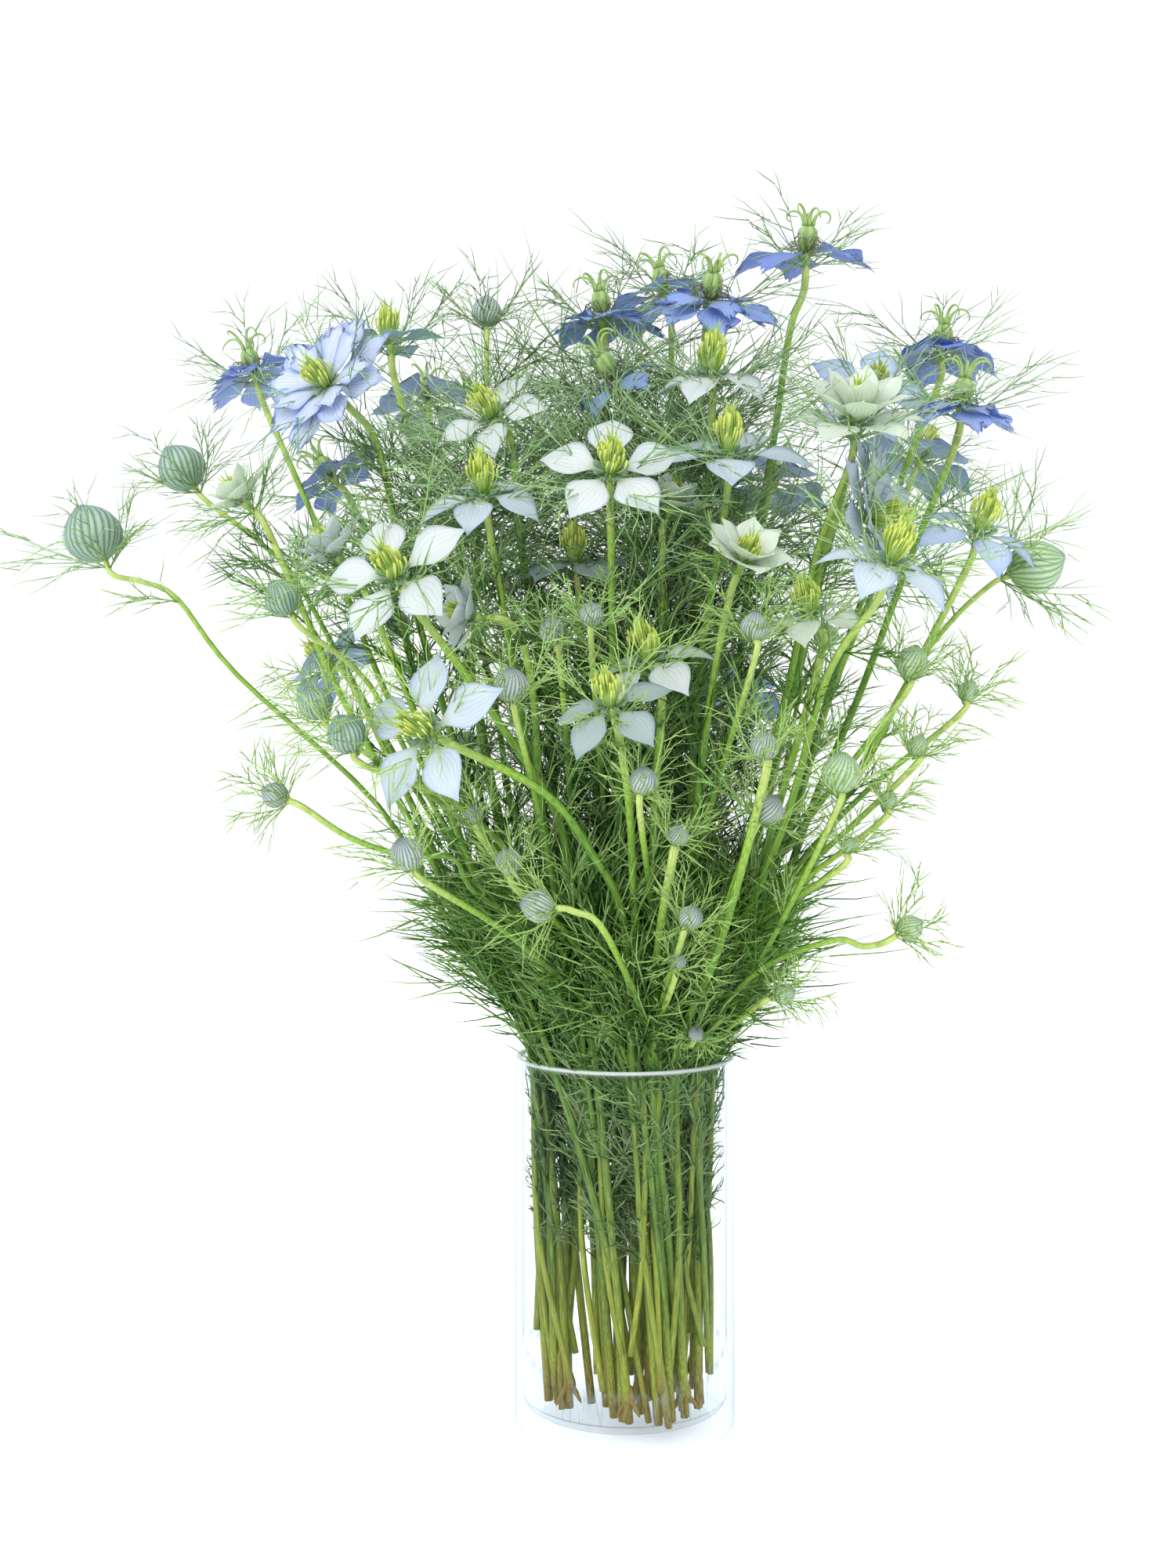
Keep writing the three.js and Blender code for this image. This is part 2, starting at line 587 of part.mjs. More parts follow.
// The parts of a head, with heights along its axis from the middle of the petals or of the bud. The
// bract threads of a bloom and a bud: where they rise from, and how far they reach out and up.
const BRACTS = { foot: -5.2, depth: 1.4, stalk: 1.2, reach: 1.3, rise: 1 };
const BUD = {
  foot: 1.5, waist: 0.5, wide: 0.86, shoulder: 0.35, tip: 0.85, reach: 2, rise: 2.6,
  stalk: 1, spare: 4, // the stalk between the bracts and the bud, and the length its threads have over
};
const CAPSULE = { foot: 2.4, belly: 6, wide: 3.8, shoulder: 10.5, narrow: 3, dip: -0.5 };
const CURLED_STYLE = [
  { radius: 4.6, height: 5.5, swing: 0.1, thick: 0.7 },
  { radius: 10, height: 6, swing: 0.8 },
];
// The stamens stand in two bands round the ovary, and the styles stand on its crown.
const STAMENS = {
  lower: { foot: 2.8, radius: 1.3, reach: 5.6, rise: 7 },
  upper: { foot: 5.6, radius: 2.3, reach: 3.8, rise: 6 },
  gathered: 0.55, // how much of their reach is left in a half-open bloom
};
const OVARY = { crown: 8, radius: 2, dome: 0.5 };
const STYLE = { radius: 1.6, height: 9.5, swing: 0.2 };

/** Tips for a band of threads: outward and along the head's axis from a root on that axis. */
const threads = (owner, head, number, root, out, rise) => (direction, i) => {
  const { up, at } = headAxes(head);
  const across = up.clone().cross(direction);
  const swing = 0.45 * vary(i, number);
  const unevenness = 1 + 0.22 * vary(i + 3, number);
  const tip = at(0, 0, root + rise * unevenness)
    .addScaledVector(direction, out * unevenness * Math.cos(swing))
    .addScaledVector(across, out * unevenness * Math.sin(swing));
  return clearTip(owner, at(0, 0, root), tip);
};

/**
 * The rows of a shoot, from its foot or fork to the top of its head, and the crown that ends it.
 * The number of the shoot varies its threads, and a shoot without one is bare.
 */
function rowsOf(shoot, owner, number) {
  const { head } = shoot;
  const { at } = headAxes(head);
  const r = head.radius;
  const isBud = head.type === "bud";
  const order = shoot.parent ? "branch" : "main";
  const slim = isBud ? SLIM.bud : SLIM[order];
  const { turn } = shoot;
  const rows = routeOf(shoot).map((point) =>
    ({ point, radius: stemRadius(point.z) * slim, sides: SIDES[order], turn }));
  const add = (height, radius, band) => {
    const tips = band && number !== null
      ? threads(owner, head, number + band.kind, height, band.out, band.rise)
      : undefined;
    rows.push({ point: at(0, 0, height), radius, sides: SIDES.head, turn, tips });
  };
  if (isBud) {
    const foot = -BUD.foot * r - BUD.stalk;
    add(foot, BRACTS.stalk * SLIM.bud, {
      kind: 0, out: BUD.reach * r + BUD.spare, rise: BUD.rise * r + BUD.spare,
    });
    add(foot + BRACTS.depth, BRACTS.stalk * SLIM.bud);
    add(-BUD.waist * r, BUD.wide * r);
    add(BUD.shoulder * r, BUD.wide * r);
    return { rows, crown: { rise: BUD.tip * r } };
  }
  add(BRACTS.foot, BRACTS.stalk, { kind: 0, out: BRACTS.reach * r, rise: BRACTS.rise });
  add(BRACTS.foot + BRACTS.depth, BRACTS.stalk);
  if (head.centre === "capsule") {
    add(CAPSULE.foot, BRACTS.stalk);
    add(CAPSULE.belly, CAPSULE.wide);
    add(CAPSULE.shoulder, CAPSULE.narrow);
    return { rows, crown: { rise: CAPSULE.dip, bends: CURLED_STYLE } };
  }
  const tall = Math.min(1, r / FULL_SIZE);
  const gather = head.kind === "cupped" ? STAMENS.gathered : 1;
  [STAMENS.lower, STAMENS.upper].forEach(({ foot, radius, reach, rise }, kind) => {
    const height = kind === 0 ? foot : foot * tall;
    add(height, Math.max(radius * tall, STAMENS.lower.radius),
      { kind: 0.3 + 0.4 * kind, out: reach * tall * gather, rise: rise * tall });
  });
  add(OVARY.crown * tall, OVARY.radius * tall);
  const style = { radius: STYLE.radius * tall, height: STYLE.height * tall, swing: STYLE.swing };
  return { rows, crown: { rise: OVARY.dome, bends: [style] } };
}

// A leaf: its size, how far it leans from upright, how many pairs of side threads it is cut into and
// how long the lowest are, and half the thickness and half the breadth of its midrib.
const LEAF = { length: 48, lean: 0.95, pairs: 3, thread: 19, thick: 0.5, broad: 0.9 };
const LEAF_FOOT = 0.02; // part of the leaf's length where the first pair grows
const LEAF_CUT = 0.74; // part of its length that bears the pairs

/** A leaf cut into threads: an arched midrib with a ridge above and below, and pairs of side threads. */
function leaf(root, azimuth, scale, room) {
  const out = vec(Math.cos(azimuth), Math.sin(azimuth), 0);
  const side = vec(-Math.sin(azimuth), Math.cos(azimuth), 0);
  const half = LEAF.thick + room;
  const spine = (part) => {
    const length = LEAF.length * scale * part;
    const lean = LEAF.lean * (0.6 + 0.4 * part);
    const height = root.z + length * Math.cos(lean);
    return root.clone().addScaledVector(out, length * Math.sin(lean)).setZ(height);
  };
  const ahead = (part) => spine(part + 0.05).sub(spine(part)).normalize();
  const corners = [];
  const triangles = [];
  const add = (point) => corners.push(point) - 1;
  const parts = Array.from({ length: LEAF.pairs + 1 }, (_, k) => LEAF_FOOT + (LEAF_CUT * k) / LEAF.pairs);
  // The corners of each row: the ridge above, the ridge below, and the notches on the two sides.
  const rows = parts.map((part) => {
    const middle = spine(part);
    const above = side.clone().cross(ahead(part)).setLength(half);
    const edge = side.clone().multiplyScalar(LEAF.broad * (1 - 0.4 * part) + room);
    const points = [middle.clone().add(above), middle.clone().sub(above), middle.clone().add(edge)];
    return [...points, middle.clone().sub(edge)].map(add);
  });
  rows.slice(0, -1).forEach(([above, below, ...notches], k) => {
    const [nextAbove, nextBelow, ...nextNotches] = rows[k + 1];
    const reach = 0.7 * (LEAF.thread * scale * (1.2 - 0.6 * parts[k]) + room);
    const root = spine(parts[k] + 0.08).addScaledVector(ahead(parts[k]), reach);
    [1, -1].forEach((hand, n) => {
      const tip = add(root.clone().addScaledVector(side, hand * reach));
      const [low, high] = [notches[n], nextNotches[n]];
      const faces = [
        [above, low, tip], [above, tip, high], [above, high, nextAbove],
        [below, tip, low], [below, high, tip], [below, nextBelow, high],
      ];
      for (const [p, q, r] of faces) triangles.push(...(hand > 0 ? [p, r, q] : [p, q, r]));
    });
  });
  const tip = add(spine(1 + room / LEAF.length));
  const [above, below, left, right] = rows[LEAF.pairs];
  triangles.push(above, tip, left, below, left, tip, above, right, tip, below, tip, right);
  const [top, bottom, near, far] = rows[0];
  triangles.push(top, near, bottom, top, bottom, far);
  return solid(corners, triangles);
}

const LEAF_TRIES = 5;
const GOLDEN = 2.399963; // the golden angle, which sets leaves round a stem

/** A leaf from a point of a shoot, turned round it until it is clear of the other nodes, if it can be. */
function growLeaf(name, root, azimuth, scale) {
  for (let turn = 0; turn < LEAF_TRIES; turn++) {
    const bearing = azimuth + turn * GOLDEN;
    if (!isClear(leaf(root, bearing, scale, GAP), name)) continue;
    const grown = leaf(root, bearing, scale, 0);
    standInTheWay(name, grown);
    return [grown];
  }
  return [];
}

// ---- the vase and the flowers ----

const GREEN = 0x5f8f3a;
const PETAL_COLOR = {
  open: 0xe9eef4, drooping: 0xd3deef, cupped: 0xe3ebe2, hidden: 0x8fa3d4, layered: 0x6f86cf,
};

function vase() {
  const { radius, height, wall, floor, edge, inner, sides } = VASE;
  const profile = [
    [0, 0], [radius - edge, 0], [radius, edge], [radius, height - edge], [radius - wall / 2, height],
    [radius - wall, height - edge], [radius - wall, floor + inner], [radius - wall - inner, floor],
    [0, floor],
  ].map(([x, y]) => new THREE.Vector2(x, y));
  const geometry = new THREE.LatheGeometry(profile, sides);
  geometry.rotateX(Math.PI / 2);
  return fromGeometry(geometry);
}

const numbered = (word, index) => `${word}_${String(index + 1).padStart(2, "0")}`;
const nodes = new Map();

function addTo(name, color, pieces) {
  if (!nodes.has(name)) nodes.set(name, { color, pieces: [] });
  nodes.get(name).pieces.push(...pieces);
}

addTo("vase", 0xdfeaf0, [vase()]);
const shoots = easeApart(setOutShoots());
shoots.filter(({ head }) => head.type === "bloom").forEach(({ head }, index) => {
  addTo(numbered("petals", index), PETAL_COLOR[head.kind], [corolla(head)]);
});
for (const [name, { pieces }] of nodes) pieces.forEach((piece) => standInTheWay(name, piece));
for (const shoot of shoots) {
  const { rows, crown } = rowsOf(shoot, numbered("leafy_stem", shoot.stem), null);
  standInTheWay(numbered("leafy_stem", shoot.stem), shootSolid(rows, crown));
}
shoots.forEach((shoot, number) => {
  const name = numbered("leafy_stem", shoot.stem);
  const { rows, crown } = rowsOf(shoot, name, number);
  addTo(name, GREEN, [shootSolid(rows, crown)]);
});

const LEAF_EVERY = 8; // one level in so many of the shoots bears a leaf
const LEAF_BELOW = 0.08; // how far under the level it grows, as a part of the way to the next one down
shoots.forEach((shoot, number) => {
  const name = numbered("leafy_stem", shoot.stem);
  for (let k = Math.max(shoot.fork + 1, RIM); k < shoot.levels.length; k++) {
    if ((number * 7 + k * 3) % LEAF_EVERY !== 0) continue;
    const root = shoot.levels[k].clone().lerp(shoot.levels[k - 1], LEAF_BELOW);
    const azimuth = GOLDEN * (3 * number + k);
    addTo(name, GREEN, growLeaf(name, root, azimuth, 1 + 0.15 * vary(number, k)));
  }
});

// ---- the scene ----

function toGeometry(body) {
  const mesh = body.getMesh();
  const geometry = new THREE.BufferGeometry();
  geometry.setAttribute("position", new THREE.BufferAttribute(mesh.vertProperties, 3));
  geometry.setIndex(new THREE.BufferAttribute(mesh.triVerts, 1));
  return geometry;
}

/** All of a node's pieces as one solid, without the scraps and sealed hollows that joining leaves. */
function join(pieces) {
  const joined = pieces.length > 1 ? wasm.Manifold.union(pieces) : pieces[0];
  const bodies = fromGeometry(toGeometry(joined)).decompose();
  return bodies.reduce((best, body) => (body.volume() > best.volume() ? body : best));
}

const bunch = new THREE.Group();
for (const [name, { color, pieces }] of nodes) {
  const isGlass = name === "vase";
  const material = new THREE.MeshStandardMaterial({ color, roughness: isGlass ? 0.05 : 0.6, metalness: 0 });
  const mesh = new THREE.Mesh(toGeometry(join(pieces)), material);
  mesh.geometry.computeVertexNormals();
  mesh.name = name;
  bunch.add(mesh);
}

export default bunch;
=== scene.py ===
"""A bunch of love-in-a-mist (Nigella damascena) standing in a clear glass cylinder vase.

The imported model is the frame: every piece here stands where its node stands. Sizes are in
millimetres and are turned into metres as a mesh is made. +Z is up and -Y is the front.
"""

import bpy
import numpy as np
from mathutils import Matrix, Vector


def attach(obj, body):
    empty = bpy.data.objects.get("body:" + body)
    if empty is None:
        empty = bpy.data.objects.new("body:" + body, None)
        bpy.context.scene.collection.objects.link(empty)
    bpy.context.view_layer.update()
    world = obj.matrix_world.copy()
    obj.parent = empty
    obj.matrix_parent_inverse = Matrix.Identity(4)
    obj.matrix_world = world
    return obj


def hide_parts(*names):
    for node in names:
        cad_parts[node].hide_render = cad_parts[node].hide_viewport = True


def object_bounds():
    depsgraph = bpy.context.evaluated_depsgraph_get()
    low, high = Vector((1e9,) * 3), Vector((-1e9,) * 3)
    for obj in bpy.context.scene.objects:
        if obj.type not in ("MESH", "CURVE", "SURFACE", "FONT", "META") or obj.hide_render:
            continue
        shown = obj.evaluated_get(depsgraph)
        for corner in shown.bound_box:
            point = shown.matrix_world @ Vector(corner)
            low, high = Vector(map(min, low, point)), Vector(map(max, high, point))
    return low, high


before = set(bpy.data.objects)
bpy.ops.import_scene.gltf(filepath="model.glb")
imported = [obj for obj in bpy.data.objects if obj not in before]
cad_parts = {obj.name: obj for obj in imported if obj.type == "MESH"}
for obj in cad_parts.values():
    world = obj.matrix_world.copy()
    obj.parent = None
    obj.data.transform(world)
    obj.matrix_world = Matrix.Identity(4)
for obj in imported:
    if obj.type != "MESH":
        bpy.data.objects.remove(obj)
CAD_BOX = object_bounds()
MM = 0.001

# ---- camera ----
# A level camera at the height of the lower blooms, a little to the left of the vase's axis.

CAMERA_AT = (-15.3, -693.0, 261.0)
FOCAL = 2150 / 2001  # focal length as a share of the frame's height
SENSOR = 36.0

camera = bpy.data.objects.new("camera", bpy.data.cameras.new("camera"))
camera.data.sensor_width = SENSOR
camera.data.lens = FOCAL * SENSOR
camera.location = [value * MM for value in CAMERA_AT]
camera.rotation_euler = (np.pi / 2, 0, 0)
bpy.context.collection.objects.link(camera)
bpy.context.scene.camera = camera

# ---- glass vase ----
# A straight cylinder of clear glass, blown in a mould and cut off, with a thick flat floor and a
# fire-polished rim. Nothing is fixed to it: the stems stand in it.

VASE = dict(radius=45.0, height=150.0, wall=3.0, floor=8.0, foot=1.6, inner=4.5, sides=128)
HOLLOW = [(0, 0.9), (24.75, 0.7), (36, 0)]  # under the floor: distance from the axis, and height
FLOOR_TOP = [(21, 7.7), (0, 7.6)]
WALL_RINGS = np.linspace(12, 142, 6)  # their heights
ARC_POINTS = 11
# LIP_AT and LIP_HALF place the painted highlight on the rim in the UV map.
LIP_AT, LIP_HALF = 0.51, 0.105  # the lip's place in the UV map, and half its width there


def arc(centre, radius, start, end):
    """Points of an arc: the centre plus the radius times the cosine and sine of each angle."""
    angle = np.radians(np.linspace(start, end, ARC_POINTS))
    return np.stack([centre[0] + radius * np.cos(angle), centre[1] + radius * np.sin(angle)], 1)


def vase_profile():
    """Half of the vase's section, from the axis under the floor, up outside, and down inside."""
    outside, foot, inner, lip = VASE["radius"], VASE["foot"], VASE["inner"], VASE["wall"] / 2
    inside = outside - VASE["wall"]
    return np.concatenate([
        HOLLOW,
        arc((outside - foot, foot), foot, -90, 0),
        np.stack([np.full_like(WALL_RINGS, outside), WALL_RINGS], 1),
        arc((outside - lip, VASE["height"] - lip), lip, 0, 180),
        np.stack([np.full_like(WALL_RINGS, inside), WALL_RINGS[::-1]], 1),
        arc((inside - inner, VASE["floor"] + inner), inner, 0, -90),
        FLOOR_TOP,
    ])


def turned(profile, sides):
    """A closed skin turned round +Z: a point at (r, z) goes to (r cos a, r sin a, z) for each angle a.
    Its ends stand on the axis. Round it, the first number of the UV map runs from 1 to 0 and back."""
    angle = np.arange(sides) * 2 * np.pi / sides
    rings = profile[1:-1]
    ring = np.stack([
        rings[:, :1] * np.cos(angle), rings[:, :1] * np.sin(angle),
        np.repeat(rings[:, 1:], sides, 1),
    ], 2)
    points = np.concatenate([ring.reshape(-1, 3), [[0, 0, profile[0, 1]], [0, 0, profile[-1, 1]]]])
    count = len(rings)
    row, column = np.meshgrid(np.arange(count - 1), np.arange(sides), indexing="ij")
    after = (column + 1) % sides
    low, high = row * sides, (row + 1) * sides
    quads = np.stack([low + column, low + after, high + after, high + column], 2).reshape(-1, 4)
    i, j = np.arange(sides), (np.arange(sides) + 1) % sides
    under = np.stack([j, i, np.full(sides, count * sides)], 1)
    top = (count - 1) * sides
    over = np.stack([top + i, top + j, np.full(sides, count * sides + 1)], 1)
    share = np.linspace(0.02, 0.98, count)
    uv = np.stack([np.tile(np.abs(angle / np.pi - 1), count), np.repeat(share, sides)], 1)
    uv = np.concatenate([uv, [[0.5, 0.0], [0.5, 1.0]]])
    return points, quads, np.concatenate([under, over]), uv


def make_piece(name, skin, finish, node):
    """Makes a piece that shows a node. A skin is points, quads, triangles, and the points' UV map."""
    points, quads, triangles, uv = skin
    mesh = bpy.data.meshes.new(name)
    corners = np.concatenate([quads.ravel(), triangles.ravel()]).astype(np.int32)
    starts = np.concatenate([
        4 * np.arange(len(quads)), 4 * len(quads) + 3 * np.arange(len(triangles)),
    ]).astype(np.int32)
    mesh.vertices.add(len(points))
    mesh.loops.add(len(corners))
    mesh.polygons.add(len(starts))
    mesh.vertices.foreach_set("co", (points * MM).astype(np.float32).ravel())
    mesh.loops.foreach_set("vertex_index", corners)
    mesh.polygons.foreach_set("loop_start", starts)
    mesh.update(calc_edges=True)
    mesh.shade_smooth()
    layer = mesh.uv_layers.new(name="OFBake")
    layer.data.foreach_set("uv", uv[corners].astype(np.float32).ravel())
    mesh.materials.append(finish)
    piece = bpy.data.objects.new(name, mesh)
    bpy.context.collection.objects.link(piece)
    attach(piece, "root")
    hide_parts(node)


def tint(code):
    """The linear colour of a hexadecimal sRGB code."""
    value = np.array([int(code[i:i + 2], 16) for i in (1, 3, 5)]) / 255
    linear = np.where(value <= 0.04045, value / 12.92, ((value + 0.055) / 1.055) ** 2.4)
    return (*linear, 1.0)


def new_finish(name):
    """A material with a Principled shader, and that shader and the output."""
    finish = bpy.data.materials.new(name)
    finish.use_nodes = True
    return finish, finish.node_tree.nodes["Principled BSDF"], finish.node_tree.nodes["Material Output"]


def feed(tree, socket, value):
    """Links a socket to another one, or sets it to a number or a colour."""
    if isinstance(value, bpy.types.NodeSocket):
        tree.links.new(value, socket)
    else:
        socket.default_value = value


def plug(tree, node, **inputs):
    """Links or sets a node's inputs by name."""
    for name, value in inputs.items():
        feed(tree, node.inputs[name.replace("_", " ")], value)


def add_node(tree, kind, **inputs):
    """A shader node of a kind, with its inputs linked or set."""
    node = tree.nodes.new(kind)
    plug(tree, node, **inputs)
    return node


def reckon(tree, operation, first, second=0.0, third=0.0, clamp=False):
    """The result of a Math node."""
    node = tree.nodes.new("ShaderNodeMath")
    node.operation = operation
    node.use_clamp = clamp
    for socket, value in zip(node.inputs, (first, second, third)):
        feed(tree, socket, value)
    return node.outputs[0]


def dyed(tree, share, stops):
    """A colour that runs through stops (place, colour code) as a share goes from 0 to 1."""
    node = tree.nodes.new("ShaderNodeValToRGB")
    tree.links.new(share, node.inputs["Fac"])
    elements = node.color_ramp.elements
    while len(elements) < len(stops):
        elements.new(0.5)
    for element, (place, code) in zip(elements, stops):
        element.position = place
        element.color = tint(code)
    return node.outputs["Color"]


def own_map(tree):
    """The two numbers of the piece's own UV map, and the map itself."""
    node = tree.nodes.new("ShaderNodeUVMap")
    node.uv_map = "OFBake"
    parts = add_node(tree, "ShaderNodeSeparateXYZ", Vector=node.outputs["UV"])
    return parts.outputs["X"], parts.outputs["Y"], node.outputs["UV"]


def mixed_light(tree, share, first, second):
    """A mix of two shader nodes, with a share of the second."""
    node = add_node(tree, "ShaderNodeMixShader", Fac=share)
    tree.links.new(first.outputs[0], node.inputs[1])
    tree.links.new(second.outputs[0], node.inputs[2])
    return node


def clear_glass():
    """Clear glass: it shows what is behind it, takes a faint blue-grey at its edges, where the eye
    looks along the wall, and mirrors the room there. The polished lip is painted as an opaque pale
    grey band: a painted highlight where it catches the light."""
    finish, shader, output = new_finish("clear_glass")
    tree = finish.node_tree
    # The Principled shader shows only on the lip: its pale grey is the painted highlight there.
    plug(tree, shader, Base_Color=tint("#dfe5e8"), Roughness=0.12)
    _, v, _ = own_map(tree)
    from_lip = reckon(tree, "ABSOLUTE", reckon(tree, "SUBTRACT", v, LIP_AT))
    # lip: how much of the painted highlight covers the glass, 0.9 on the rim and 0 away from it.
    lip = add_node(tree, "ShaderNodeMapRange", Value=from_lip, From_Min=LIP_HALF,
                   From_Max=LIP_HALF * 0.6, To_Min=0.0, To_Max=0.9).outputs["Result"]
    slant = add_node(tree, "ShaderNodeLayerWeight", Blend=0.5).outputs["Facing"]
    cast = dyed(tree, slant, [(0.0, "#ffffff"), (0.6, "#fbfdfe"), (0.85, "#eaf0f4"), (1.0, "#cdd7df")])
    through = add_node(tree, "ShaderNodeBsdfTransparent", Color=cast)
    mirror = add_node(tree, "ShaderNodeBsdfAnisotropic", Color=tint("#ffffff"), Roughness=0.04)
    shine = reckon(tree, "MULTIPLY_ADD", reckon(tree, "POWER", slant, 4.0), 0.13, 0.002)
    wall = mixed_light(tree, shine, through, mirror)
    both = mixed_light(tree, lip, wall, shader)
    tree.links.new(both.outputs[0], output.inputs["Surface"])
    return finish


make_piece("glass_cylinder", turned(vase_profile(), VASE["sides"]), clear_glass(), "vase")

# ---- the plan of the bunch ----
# Each of the 22 plants was cut near its root and stands on the vase's floor. A plant is a main shoot
# with side shoots, and each shoot ends in a bloom or a bud. The first one of a plant ends its main
# shoot. The others grow out at a fork, the number of one of the levels below.


def bloom(place, radius, facing, kind, centre, dye, spin=0.0, fork=0, via=()):
    """A bloom that ends a shoot: its place, its radius, the way it faces, its petals' kind and dye,
    its heart, how far its petals are turned round it, and the bends of its stem."""
    return dict(is_bloom=True, place=place, radius=radius, facing=facing, kind=kind, centre=centre,
                dye=dye, spin=spin, fork=fork, via=via)


def bud(place, radius, facing, fork=0, via=()):
    """A bud that ends a shoot: its place, its radius, the way it points and the bends of its stem."""
    return dict(is_bloom=False, place=place, radius=radius, facing=facing, fork=fork, via=via)


